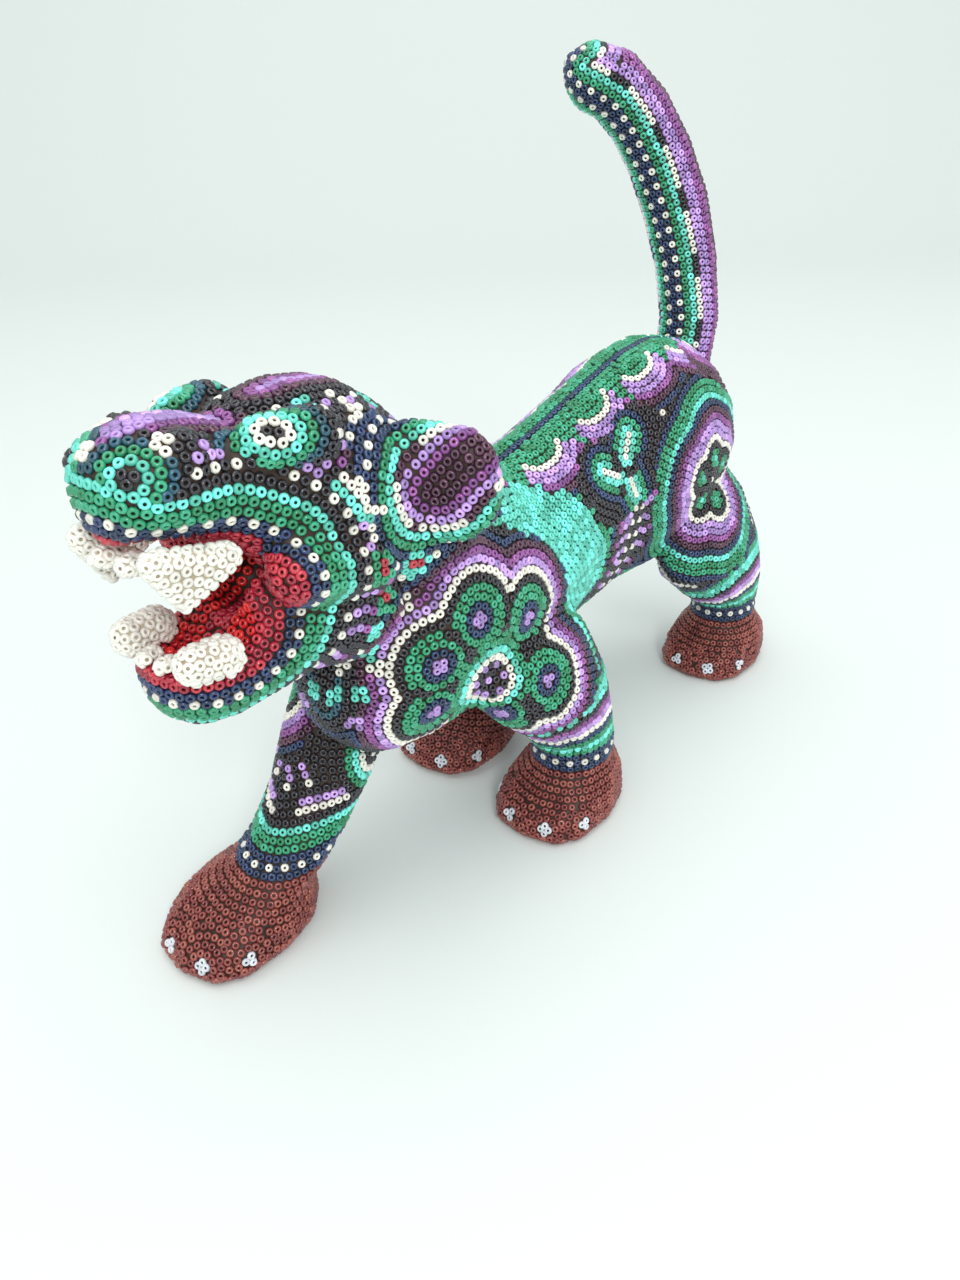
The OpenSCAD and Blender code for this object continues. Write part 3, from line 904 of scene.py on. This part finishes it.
    def _lay_line(self, beads: Beads, index: np.ndarray, share: np.ndarray, k: int) -> None:
        """One closed line of beads."""
        places, normals, labels, closer = self._on_edges(index, share)
        if len(places) < 3:
            return
        picks = even_steps(places)
        nodes = np.round(picks).astype(int) % len(places)
        spots = np.array([sample(places, at) for at in picks])
        facing = unit(np.array([sample(normals, at) for at in picks]))
        own_labels, own_closer = labels[nodes], closer[nodes]
        colours: list[Glass | None] = [None] * len(spots)
        for label in np.unique(own_labels):
            motif = self.motifs[label]
            own = np.nonzero(own_labels == label)[0]
            rank = k - int(round(self.starts[label] / PITCH))
            line = Line(spots[own], own, self.tips.get((int(label), k - 1), []))
            inside = self.inner[own_closer[own]] if motif.inner else np.zeros(len(own), bool)
            row = motif.rows[min(rank, len(motif.rows) - 1)]
            outer_paint = row.paint(line)
            if isinstance(row, Rays):
                lit = [spots[at] for n, at in enumerate(own) if outer_paint[n] is row.ray and not inside[n]]
                self.tips.setdefault((int(label), k), []).extend(lit)
            inner_paint = outer_paint
            if motif.inner:
                inner_paint = motif.inner[min(rank, len(motif.inner) - 1)].paint(line)
            for n, at in enumerate(own):
                colours[at] = inner_paint[n] if inside[n] else outer_paint[n]
        for at, spot in enumerate(spots):
            label = int(own_labels[at])
            rank = k - int(round(self.starts[label] / PITCH))
            if rank >= 1 and not beads.crowded(spot):
                beads.add(spot, facing[at], colours[at], str(self.regions[own_closer[at]]), label, rank)

    def _fill(self, beads: Beads) -> None:
        """Beads in the gaps where rows of different seeds meet."""
        tree = point_tree(beads.places)
        surface = self.surface
        places = np.concatenate([surface.verts, surface.verts[surface.tris].mean(1)])
        source = np.concatenate([np.arange(len(surface.verts)), surface.tris[:, 0]])
        away = np.array([tree.find(Vector(p))[2] for p in places])
        wide = np.nonzero(away > CLOSEST)[0]
        for at in wide[np.argsort(-away[wide], kind="stable")]:
            if beads.crowded(places[at]):
                continue
            vertex = int(source[at])
            label = int(self.label[vertex])
            motif = self.motifs[label]
            rank = max(0, int(round((self.distance[vertex] - self.starts[label]) / PITCH)))
            own_rows = motif.inner if motif.inner and self.inner[vertex] else motif.rows
            line = Line(places[at][None], np.array([1]))
            colour = own_rows[min(rank, len(own_rows) - 1)].paint(line)[0]
            beads.add(places[at], surface.normals[vertex], colour, str(self.regions[vertex]), label, rank)

    def _cut_seams(self, beads: Beads) -> None:
        """Dark beads between two petals."""
        near = point_tree(beads.places)
        for n, label in enumerate(beads.labels):
            motif = self.motifs[label]
            if motif.seam is None or not motif.seam_rows[0] <= beads.ranks[n] <= motif.seam_rows[1]:
                continue
            for _, other, _ in near.find_range(Vector(beads.places[n]), SEAM_REACH):
                if beads.labels[other] != label and self.motifs[beads.labels[other]] is motif:
                    beads.colours[n] = motif.seam
                    break


def even_steps(places: np.ndarray) -> np.ndarray:
    """Even steps of about one pitch round a closed line.

    Args:
        places: points of the line, in order.

    Returns:
        Fractional indexes of the steps.
    """
    loop = np.concatenate([places, places[:1]])
    reach = np.concatenate([[0], np.cumsum(np.linalg.norm(np.diff(loop, axis=0), axis=1))])
    count = max(1, int(round(reach[-1] / PITCH)))
    wanted = np.arange(count) * reach[-1] / count
    return np.interp(wanted, reach, np.arange(len(loop)))


def sample(values: np.ndarray, at: float) -> np.ndarray:
    """Value at a fractional index of a closed line."""
    low = int(math.floor(at))
    t = at - low
    return values[low % len(values)] * (1 - t) + values[(low + 1) % len(values)] * t


# ---------------------------------------------------------------- bead meshes

class BeadShape:
    """One seed bead, modelled once and copied thousands of times."""

    crest_radius: float = 0.74
    wall: float = 0.34
    rim_height: float = 0.1
    hole_radius: float = 0.32
    hole_height: float = 0.42
    tilt: float = 0.05
    shift: float = 0.035
    sizes: tuple[float, float] = (0.965, 1.03)

    def __init__(self) -> None:
        """Turns a ring with a flattened section."""
        bpy.ops.object.select_all(action="DESELECT")
        bpy.ops.mesh.primitive_torus_add(
            major_segments=10, minor_segments=4, major_radius=self.crest_radius, minor_radius=self.wall)
        ring = bpy.context.view_layer.objects.active
        corners = []
        for vertex in ring.data.vertices:
            x, y, z = vertex.co
            out = math.hypot(x, y)
            if out > self.crest_radius + self.wall / 2:
                wide, high = BEAD_RADIUS, self.rim_height
            elif out < self.crest_radius - self.wall / 2:
                wide, high = self.hole_radius, self.hole_height
            else:
                wide, high = self.crest_radius, math.copysign(BEAD_HALF_HEIGHT, z)
            corners.append((x / out * wide, y / out * wide, high))
        self.corners = np.array(corners)
        self.faces = np.array([tuple(p.vertices) for p in ring.data.polygons])
        bpy.data.objects.remove(ring)

    def stamp(self, name: str, places: np.ndarray, normals: np.ndarray, slots: np.ndarray,
              rng: np.random.Generator) -> bpy.types.Object:
        """One piece made of many beads.

        Args:
            name: the piece's name.
            places: surface points under the beads' tops, in carver's millimetres.
            normals: directions out of the surface.
            slots: material number of each bead.
            rng: source of the small unevenness of handwork.

        Returns:
            The piece.
        """
        count, corner_count = len(places), len(self.corners)
        facing = unit(normals + rng.normal(0, self.tilt, (count, 3)))
        turn = rng.uniform(0, 2 * math.pi, count)
        helper = np.where(np.abs(facing[:, 2:]) < 0.9, [[0.0, 0, 1]], [[1.0, 0, 0]])
        side = unit(np.cross(facing, helper))
        over = np.cross(facing, side)
        first = side * np.cos(turn)[:, None] + over * np.sin(turn)[:, None]
        second = np.cross(facing, first)
        size = rng.uniform(*self.sizes, (count, 1, 1))
        middle = places - normals * BEAD_HALF_HEIGHT + rng.normal(0, self.shift, (count, 3))
        c = self.corners[None] * size
        verts = (middle[:, None] + c[..., :1] * first[:, None] + c[..., 1:2] * second[:, None]
                 + c[..., 2:] * facing[:, None])
        verts[..., 2] += np.maximum(0, -verts[..., 2].min(1))[:, None]
        faces = (self.faces[None] + (np.arange(count) * corner_count)[:, None, None]).reshape(-1, 4)
        mesh = bpy.data.meshes.new(name)
        flat = framed(verts.reshape(-1, 3)).astype(np.float32)
        mesh.vertices.add(len(flat))
        mesh.vertices.foreach_set("co", flat.ravel())
        mesh.loops.add(faces.size)
        mesh.loops.foreach_set("vertex_index", faces.astype(np.int32).ravel())
        mesh.polygons.add(len(faces))
        mesh.polygons.foreach_set("loop_start", (np.arange(len(faces)) * 4).astype(np.int32))
        mesh.polygons.foreach_set("material_index", np.repeat(slots, len(self.faces)).astype(np.int32))
        mesh.update(calc_edges=True)
        mesh.validate()
        mesh.polygons.foreach_set("use_smooth", np.ones(len(faces), bool))
        return linked(name, mesh)


# ---------------------------------------------------------------- wax and wood

def add_node(tree: bpy.types.NodeTree, kind: str, **values: object) -> bpy.types.Node:
    """A node with values for some inputs; an underscore stands for the space in an input's name."""
    made = tree.nodes.new(kind)
    for name, value in values.items():
        made.inputs[name.replace("_", " ")].default_value = value
    return made


class Finish:
    """A procedural finish: an effect with its own values, placed in a material."""

    name: str

    def values(self) -> dict[str, object]:
        """The finish's own values for the effect's inputs."""
        raise NotImplementedError

    def effect(self) -> bpy.types.NodeTree:
        """The node group that gives the colour, the roughness and the normal."""
        raise NotImplementedError

    @staticmethod
    def blank(name: str, inputs: tuple[tuple[str, str], ...]) -> tuple:
        """A new effect.

        Args:
            name: the group's name.
            inputs: name and socket type of each input.

        Returns:
            The group, its input node, its output node and the place's socket.
        """
        made = bpy.data.node_groups.new(name, "ShaderNodeTree")
        for label, kind in inputs:
            made.interface.new_socket(name=label, in_out="INPUT", socket_type=kind)
        for label, kind in (("Colour", "Color"), ("Rough", "Float"), ("Normal", "Vector")):
            made.interface.new_socket(name=label, in_out="OUTPUT", socket_type="NodeSocket" + kind)
        place = made.nodes.new("ShaderNodeTexCoord")
        own, out = made.nodes.new("NodeGroupInput"), made.nodes.new("NodeGroupOutput")
        return made, own, out, place.outputs["Object"]

    @staticmethod
    def blend(group: bpy.types.NodeTree, share: bpy.types.NodeSocket, low: bpy.types.NodeSocket,
              high: bpy.types.NodeSocket, out: bpy.types.NodeSocket) -> None:
        """Mixes two colours by a share into an output."""
        mix = group.nodes.new("ShaderNodeMix")
        mix.data_type = "RGBA"
        sockets = {s.identifier: s for s in mix.inputs}
        group.links.new(share, sockets["Factor_Float"])
        group.links.new(low, sockets["A_Color"])
        group.links.new(high, sockets["B_Color"])
        group.links.new({s.identifier: s for s in mix.outputs}["Result_Color"], out)

    @staticmethod
    def relief(group: bpy.types.NodeTree, mask: bpy.types.NodeSocket, out: bpy.types.Node,
               rough: tuple[float, float], strength: float, distance: float) -> None:
        """Roughness between two values and dents, both from one mask."""
        spread = add_node(group, "ShaderNodeMapRange", To_Min=rough[0], To_Max=rough[1])
        bump = add_node(group, "ShaderNodeBump", Strength=strength, Distance=distance)
        group.links.new(mask, spread.inputs["Value"])
        group.links.new(mask, bump.inputs["Height"])
        group.links.new(spread.outputs["Result"], out.inputs["Rough"])
        group.links.new(bump.outputs["Normal"], out.inputs["Normal"])

    def build(self) -> bpy.types.Material:
        """The material."""
        made, shader = new_material(self.name)
        tree = made.node_tree
        use = tree.nodes.new("ShaderNodeGroup")
        use.node_tree = self.effect()
        for label, value in self.values().items():
            use.inputs[label].default_value = value
        for label, socket in (("Colour", "Base Color"), ("Rough", "Roughness"), ("Normal", "Normal")):
            tree.links.new(use.outputs[label], shader.inputs[socket])
        return made


@dataclass(frozen=True)
class WaxFinish(Finish):
    """Beeswax with resin: soft sheen, cloudy, faintly dented."""

    name: str = "beeswax"
    deep: tuple[float, float, float] = (0.13, 0.085, 0.06)
    light: tuple[float, float, float] = (0.25, 0.16, 0.10)

    def values(self) -> dict[str, object]:
        """The two colours of the clouds."""
        return {"Deep": linear(self.deep), "Light": linear(self.light)}

    def effect(self) -> bpy.types.NodeTree:
        """Soft clouds of two colours."""
        ready = bpy.data.node_groups.get("wax_clouds")
        if ready:
            return ready
        colours = (("Deep", "NodeSocketColor"), ("Light", "NodeSocketColor"))
        group, own, out, place = self.blank("wax_clouds", colours)
        clouds = add_node(group, "ShaderNodeTexNoise", Scale=90, Detail=4)
        middle = add_node(group, "ShaderNodeMapRange", From_Min=0.3, From_Max=0.7)
        group.links.new(place, clouds.inputs["Vector"])
        group.links.new(clouds.outputs["Fac"], middle.inputs["Value"])
        self.blend(group, middle.outputs["Result"], own.outputs["Deep"], own.outputs["Light"],
                   out.inputs["Colour"])
        self.relief(group, clouds.outputs["Fac"], out, (0.42, 0.62), 0.3, 0.0004)
        return group


@dataclass(frozen=True)
class WoodFinish(Finish):
    """Wood with grain along the piece."""

    name: str
    pale: tuple[float, float, float]
    dark: tuple[float, float, float]
    stretch: tuple[float, float, float] = (1.0, 0.12, 1.0)

    def values(self) -> dict[str, object]:
        """The grain's two colours and its direction."""
        return {"Dark": linear(self.dark), "Pale": linear(self.pale), "Stretch": self.stretch}

    def effect(self) -> bpy.types.NodeTree:
        """Year rings and fine fibres."""
        ready = bpy.data.node_groups.get("wood_grain")
        if ready:
            return ready
        inputs = (("Dark", "NodeSocketColor"), ("Pale", "NodeSocketColor"), ("Stretch", "NodeSocketVector"))
        group, own, out, place = self.blank("wood_grain", inputs)
        mapping = group.nodes.new("ShaderNodeMapping")
        rings = add_node(group, "ShaderNodeTexWave", Scale=60, Distortion=5, Detail=3)
        rings.wave_type = "RINGS"
        rings.rings_direction = "Y"
        fibres = add_node(group, "ShaderNodeTexNoise", Scale=500)
        group.links.new(place, mapping.inputs["Vector"])
        group.links.new(own.outputs["Stretch"], mapping.inputs["Scale"])
        group.links.new(mapping.outputs["Vector"], rings.inputs["Vector"])
        group.links.new(mapping.outputs["Vector"], fibres.inputs["Vector"])
        self.blend(group, rings.outputs["Fac"], own.outputs["Dark"], own.outputs["Pale"],
                   out.inputs["Colour"])
        self.relief(group, fibres.outputs["Fac"], out, (0.55, 0.8), 0.25, 0.0003)
        return group


# ---------------------------------------------------------------- sub-assemblies

class Palette:
    """Glass materials, each made when first asked for."""

    def __init__(self) -> None:
        """Starts empty."""
        self.made: dict[tuple[Glass, int], bpy.types.Material] = {}

    def get(self, colour: Glass, shade: int) -> bpy.types.Material:
        """Material of one shade of one colour."""
        key = (colour, shade)
        if key not in self.made:
            self.made[key] = GlassFinish(colour, shade).build()
        return self.made[key]


@dataclass
class BeadCoat:
    """All beads of the figure, split into pieces by region."""

    nodes: dict[str, bpy.types.Object]
    palette: Palette
    skin: bpy.types.Object | None = None
    voxel: float = 0.9 * MM
    smoothing: int = 8

    def build(self) -> list[bpy.types.Object]:
        """Lays the beads and makes the pieces."""
        rng = np.random.default_rng(SEED)
        coats = [self.nodes[name] for name in COATS]
        self.skin = closed_skin("figure_skin", coats, self.voxel, self.smoothing)
        surface = Surface(*triangle_arrays(self.skin))
        LOG.info("skin: %d vertices, %d faces", len(surface.verts), len(surface.tris))
        regions = self._regions(surface)
        pattern = Pattern(surface, regions)
        self._sow(pattern)
        surface.spread(pattern.distance, pattern.label)
        beads = Beads()
        pattern.lay(beads)
        self._dress_back(beads)
        self._set_accents(beads)
        LOG.info("%d beads on the figure", len(beads.places))
        return self._pieces(beads, rng)

    def _regions(self, surface: Surface) -> np.ndarray:
        """Name of the nearest bead coat for every vertex of the skin."""
        verts: list[tuple] = []
        faces: list[tuple] = []
        owner: list[str] = []
        for name in COATS:
            v, t = triangle_arrays(self.nodes[name])
            faces += [tuple(f) for f in (t + len(verts))]
            verts += [tuple(p) for p in v]
            owner += [name] * len(t)
        tree = BVHTree.FromPolygons(verts, faces)
        inward = surface.verts - 0.5 * surface.normals
        return np.array([owner[tree.find_nearest(Vector(p))[2]] for p in inward])

    def _sow(self, pattern: Pattern) -> None:
        """Puts every seed on the surface."""
        verts = pattern.surface.verts
        pattern.sow_level(LIP, np.where(verts[:, 1] < MOUTH_BACK, mouth_distance(verts), OFF_RIM), RIM)
        places = np.array(PAW_PLACES) + (0, 5)
        nearest = np.linalg.norm(verts[:, None, :2] - places[None], axis=2).argmin(1)
        for leg in range(len(places)):
            height = np.where(nearest == leg, verts[:, 2], OFF_RIM)
            pattern.sow_level(RAYED_ANKLET if leg == 0 else ANKLET, height, ANKLET_HEIGHT)
        pattern.sow_line(Seed(TAIL_FRONT, ()), tail_front_line())
        for seed in all_seeds():
            pattern.sow(seed)

    @staticmethod
    def _dress_back(beads: Beads) -> None:
        """Green ground beside the spine, where the scales are open."""
        for n, (x, y, z) in enumerate(beads.places):
            beside = BACK_LENGTH[0] < y < BACK_LENGTH[1] and z > BACK_LOWEST and abs(x) < BACK_STRIP
            if beside and beads.regions[n] == "torso_beads":
                if beads.colours[n] in (G.CREAM, G.LILAC, G.PURPLE, G.PLUM):
                    beads.colours[n] = G.GREEN

    @staticmethod
    def _set_accents(beads: Beads) -> None:
        """Recolours the beads of the small motifs."""
        places = np.array(beads.places)
        for accent in ACCENTS:
            for side in (1, -1) if accent.twin else (1,):
                path = np.array(accent.path, float) * (side, 1, 1)
                away, _ = from_segment(places, path[0], path[-1])
                order = iter(np.argsort(away, kind="stable"))
                for colour, count in accent.colours:
                    for _ in range(count):
                        beads.colours[int(next(order))] = colour

    def _pieces(self, beads: Beads, rng: np.random.Generator) -> list[bpy.types.Object]:
        """One or more pieces for each coat."""
        shape = BeadShape()
        places, normals = np.array(beads.places), unit(np.array(beads.normals))
        regions = np.array(beads.regions)
        made = []
        for name in COATS:
            own = np.nonzero(regions == name)[0]
            if len(own) == 0:
                LOG.warning("no bead in %s", name)
                continue
            parts = max(1, math.ceil(len(own) / MAX_BEADS_PER_PIECE))
            order = own[np.argsort(places[own, 1], kind="stable")]
            for number, share in enumerate(np.array_split(order, parts)):
                title = name if parts == 1 else f"{name}_{number + 1}"
                piece = self._piece(shape, title, share, places, normals, beads, rng)
                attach(piece, "root")
                SLOTS.get(name, "maroon_beads" if "paw" in name else "dark_beads")
                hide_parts(name)
                made.append(piece)
        return made

    def _piece(self, shape: BeadShape, title: str, share: np.ndarray, places: np.ndarray,
               normals: np.ndarray, beads: Beads, rng: np.random.Generator) -> bpy.types.Object:
        """One piece from some of the beads."""
        shades = rng.choice(SHADES, len(share), p=SHADE_SHARES)
        keys = [(beads.colours[n], int(s)) for n, s in zip(share, shades)]
        used = sorted(set(keys), key=lambda key: (key[0].name, key[1]))
        number = {key: at for at, key in enumerate(used)}
        slots = np.array([number[key] for key in keys])
        piece = shape.stamp(title, places[share], normals[share], slots, rng)
        for colour, shade in used:
            piece.data.materials.append(self.palette.get(colour, shade))
        return piece


def mouth_distance(verts: np.ndarray) -> np.ndarray:
    """Distance of places from the side outline of the mouth, below zero inside it and in the throat."""
    outline = np.array(MOUTH_OUTLINE, float)
    flat = verts[:, 1:]
    best = np.full(len(verts), UNREACHED)
    inside = np.zeros(len(verts), bool)
    for a, b in zip(outline, np.roll(outline, -1, axis=0)):
        best = np.minimum(best, from_segment(flat, a, b)[0])
        run, rise = b - a
        crosses = (a[1] > flat[:, 1]) != (b[1] > flat[:, 1])
        edge = a[0] + (flat[:, 1] - a[1]) / (rise if abs(rise) > TINY else TINY) * run
        inside ^= crosses & (flat[:, 0] < edge)
    gape = np.where(inside, -best, best)
    throat, t = from_segment(verts, *np.array(THROAT))
    throat -= THROAT_RADII[0] + (THROAT_RADII[1] - THROAT_RADII[0]) * t
    return np.minimum(gape, throat)


def tail_front_line() -> np.ndarray:
    """Line on the front of the tail from its root to its end."""
    stations = np.array(TAIL_STATIONS, float)
    points = []
    for n, (x, y, z, r) in enumerate(stations):
        ahead = stations[min(n + 1, len(stations) - 1), :3] - stations[max(n - 1, 0), :3]
        ahead = ahead / np.linalg.norm(ahead)
        front = np.cross(np.cross(ahead, TAIL_FRONT_SIDE), ahead)
        points.append(np.array([x, y, z]) + front / np.linalg.norm(front) * r)
    return np.array(points + [np.array(p) for p in TAIL_END])


def sunk_shell(name: str, surface: Surface, depth: float) -> bpy.types.Object:
    """A smooth closed shell at a depth in millimetres under a skin."""
    mesh = bpy.data.meshes.new(name)
    mesh.from_pydata(framed(surface.verts - surface.normals * depth).tolist(), [], surface.tris.tolist())
    mesh.update()
    mesh.polygons.foreach_set("use_smooth", np.ones(len(mesh.polygons), bool))
    return linked(name, mesh)


@dataclass
class ToothSet:
    """White beads over one kind of tooth, on both sides of the mouth."""

    node: bpy.types.Object
    palette: Palette
    figure: BVHTree
    wax: bpy.types.Material
    depth: float = 0.8
    voxel: float = 0.7 * MM
    smoothing: int = 4
    clear: float = 0.3

    def build(self) -> list[bpy.types.Object]:
        """Lays the tooth's beads row by row from its tip, over a body of wax."""
        rng = np.random.default_rng(SEED + 1)
        skin = closed_skin(self.node.name + "_skin", [self.node], self.voxel, self.smoothing)
        surface = Surface(*triangle_arrays(skin))
        bpy.data.objects.remove(skin)
        pattern = Pattern(surface, np.array([self.node.name] * len(surface.verts)))
        upper = self.node.name.startswith("upper")
        for side in (-1, 1):
            own = np.nonzero(surface.verts[:, 0] * side > 0)[0]
            tip = own[np.argmin(surface.verts[own, 2] * (1 if upper else -1))]
            pattern.sow_point(Seed(TOOTH, ()), surface.verts[tip])
        surface.spread(pattern.distance, pattern.label)
        beads = Beads()
        pattern.lay(beads)
        places, normals = np.array(beads.places), unit(np.array(beads.normals))
        share = np.array([n for n, place in enumerate(places) if self._free(Vector(place))])
        shades = rng.choice(SHADES, len(share), p=SHADE_SHARES)
        piece = BeadShape().stamp(self.node.name + "_beads", places[share], normals[share], shades, rng)
        for shade in range(SHADES):
            piece.data.materials.append(self.palette.get(Glass.TOOTH, shade))
        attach(piece, "root")
        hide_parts(self.node.name)
        return [piece, self._body(surface)]

    def _free(self, place: Vector) -> bool:
        """Whether a place stands clear of the figure's skin."""
        hit, normal, _, _ = self.figure.find_nearest(place)
        return (place - hit).dot(normal) > self.clear

    def _body(self, surface: Surface) -> bpy.types.Object:
        """Pale wax that fills the tooth under its beads."""
        body = sunk_shell(self.node.name + "_wax", surface, self.depth)
        body.data.materials.append(self.wax)
        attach(body, "root")
        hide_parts(self.node.name)
        return body


@dataclass
class WaxCoat:
    """Smooth beeswax under the beads."""

    skin: bpy.types.Object
    finish: WaxFinish = WaxFinish()
    depth: float = 0.9
    share_kept: float = 0.5

    def build(self) -> bpy.types.Object:
        """Sinks the figure's skin under the beads."""
        wax = sunk_shell("wax_coat", Surface(*triangle_arrays(self.skin)), self.depth)
        select_only(wax)
        fewer = wax.modifiers.new("Decimate", "DECIMATE")
        fewer.ratio = self.share_kept
        bpy.ops.object.modifier_apply(modifier=fewer.name)
        wax.data.materials.append(self.finish.build())
        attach(wax, "root")
        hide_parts(*WAXES)
        bpy.data.objects.remove(self.skin)
        return wax


@dataclass
class WoodenCore:
    """Carved blocks and their dowels, hidden under the wax."""

    nodes: dict[str, bpy.types.Object]

    def dress(self) -> None:
        """Gives the blocks and dowels their wood."""
        carving = WoodFinish("carving_wood", (0.78, 0.62, 0.42), (0.62, 0.44, 0.27)).build()
        dowel = WoodFinish("dowel_wood", (0.87, 0.75, 0.55), (0.74, 0.58, 0.38), (1, 1, 0.12)).build()
        for names, finish in ((CORES, carving), (DOWELS, dowel)):
            for name in names:
                self.nodes[name].data.materials.clear()
                self.nodes[name].data.materials.append(finish)


# ---------------------------------------------------------------- setting

@dataclass
class Setting:
    """Pale table, soft light and the camera."""

    camera_place: tuple[float, float, float] = (139.8, -96.4, 192.1)
    yaw: float = -37.18
    pitch: float = 30.69
    roll: float = 1.58
    lens: float = 27.15
    table_width: float = 6
    table_length: float = 4.5
    table_front: float = 1.5
    table_turn: float = 37
    flat_length: float = 0.9
    sweep: float = 0.55
    aim: tuple[float, float, float] = (0, 0, 0.08)

    def build(self) -> None:
        """Makes the whole setting."""
        self._floor()
        self._light()
        self._camera()
        scene = bpy.context.scene
        scene.view_settings.view_transform = "Standard"
        scene.view_settings.look = "None"
        scene.view_settings.exposure = 0.0

    def _floor(self) -> None:
        """Table top that sweeps up behind the figure."""
        bpy.ops.mesh.primitive_grid_add(x_subdivisions=2, y_subdivisions=64, size=1)
        floor = bpy.context.view_layer.objects.active
        floor.name = "table"
        for vertex in floor.data.vertices:
            t = vertex.co.y + 0.5
            vertex.co.x *= self.table_width
            run = t * self.table_length - self.table_front
            rise = max(0.0, run - self.flat_length)
            turn = min(rise / self.sweep, math.pi / 2)
            vertex.co.y = min(run, self.flat_length) + self.sweep * math.sin(turn)
            vertex.co.z = self.sweep * (1 - math.cos(turn)) + max(0.0, rise - self.sweep * math.pi / 2)
        floor.rotation_euler = (0, 0, math.radians(self.table_turn))
        for polygon in floor.data.polygons:
            polygon.use_smooth = True
        made, shader = new_material("white_table")
        shader.inputs["Base Color"].default_value = linear((0.90, 0.925, 0.915))
        shader.inputs["Roughness"].default_value = 0.55
        floor.data.materials.append(made)

    def _area(self, name: str, place: tuple[float, float, float], size: float, power: float) -> None:
        """A soft square light that looks at the figure."""
        data = bpy.data.lights.new(name, "AREA")
        data.size = size
        data.energy = power
        light = linked(name, data)
        light.location = place
        light.rotation_euler = (Vector(self.aim) - Vector(place)).to_track_quat("-Z", "Y").to_euler()

    def _light(self) -> None:
        """White sky, a large light above and a smaller one from the left."""
        world = bpy.data.worlds.new("white_room")
        bpy.context.scene.world = world
        world.use_nodes = True
        sky = world.node_tree.nodes["Background"]
        sky.inputs["Color"].default_value = (0.93, 0.97, 0.96, 1)
        sky.inputs["Strength"].default_value = 0.82
        self._area("ceiling_light", (0.1, -0.1, 1.3), 1.4, 8.5)
        self._area("side_light", (0.9, -0.7, 0.9), 0.3, 5.5)

    def _camera(self) -> None:
        """Camera at the left front, above the figure."""
        y, p, r = (math.radians(a) for a in (self.yaw, self.pitch, self.roll))
        forward = np.array([math.sin(y) * math.cos(p), math.cos(y) * math.cos(p), -math.sin(p)])
        level = np.array([math.cos(y), -math.sin(y), 0.0])
        below = np.cross(forward, level)
        right = math.cos(r) * level + math.sin(r) * below
        down = -math.sin(r) * level + math.cos(r) * below
        data = bpy.data.cameras.new("camera")
        data.sensor_width = 36
        data.lens = self.lens
        data.clip_start = 0.01
        camera = linked("camera", data)
        turn = np.eye(4)
        turn[:3, 0], turn[:3, 1], turn[:3, 2] = right, -down, -forward
        turn[:3, 3] = framed(np.array(self.camera_place))
        camera.matrix_world = Matrix([tuple(float(v) for v in row) for row in turn])
        bpy.context.scene.camera = camera


def main() -> None:
    """Builds the sub-assemblies in order."""
    logging.basicConfig(level=logging.INFO, format="%(message)s")
    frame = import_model()
    nodes = frame["nodes"]
    palette = Palette()
    coat = BeadCoat(nodes, palette)
    pieces = coat.build()
    figure = BVHTree.FromPolygons(*(a.tolist() for a in triangle_arrays(coat.skin)))
    pale = WaxFinish("pale_wax", (0.72, 0.66, 0.56), (0.86, 0.82, 0.74)).build()
    for name in TEETH:
        pieces += ToothSet(nodes[name], palette, figure, pale).build()
    pieces.append(WaxCoat(coat.skin).build())
    for piece in pieces:
        LOG.info("%s: %d faces", piece.name, len(piece.data.polygons))
    WoodenCore(nodes).dress()
    Setting().build()


if __name__ == "__main__":
    main()
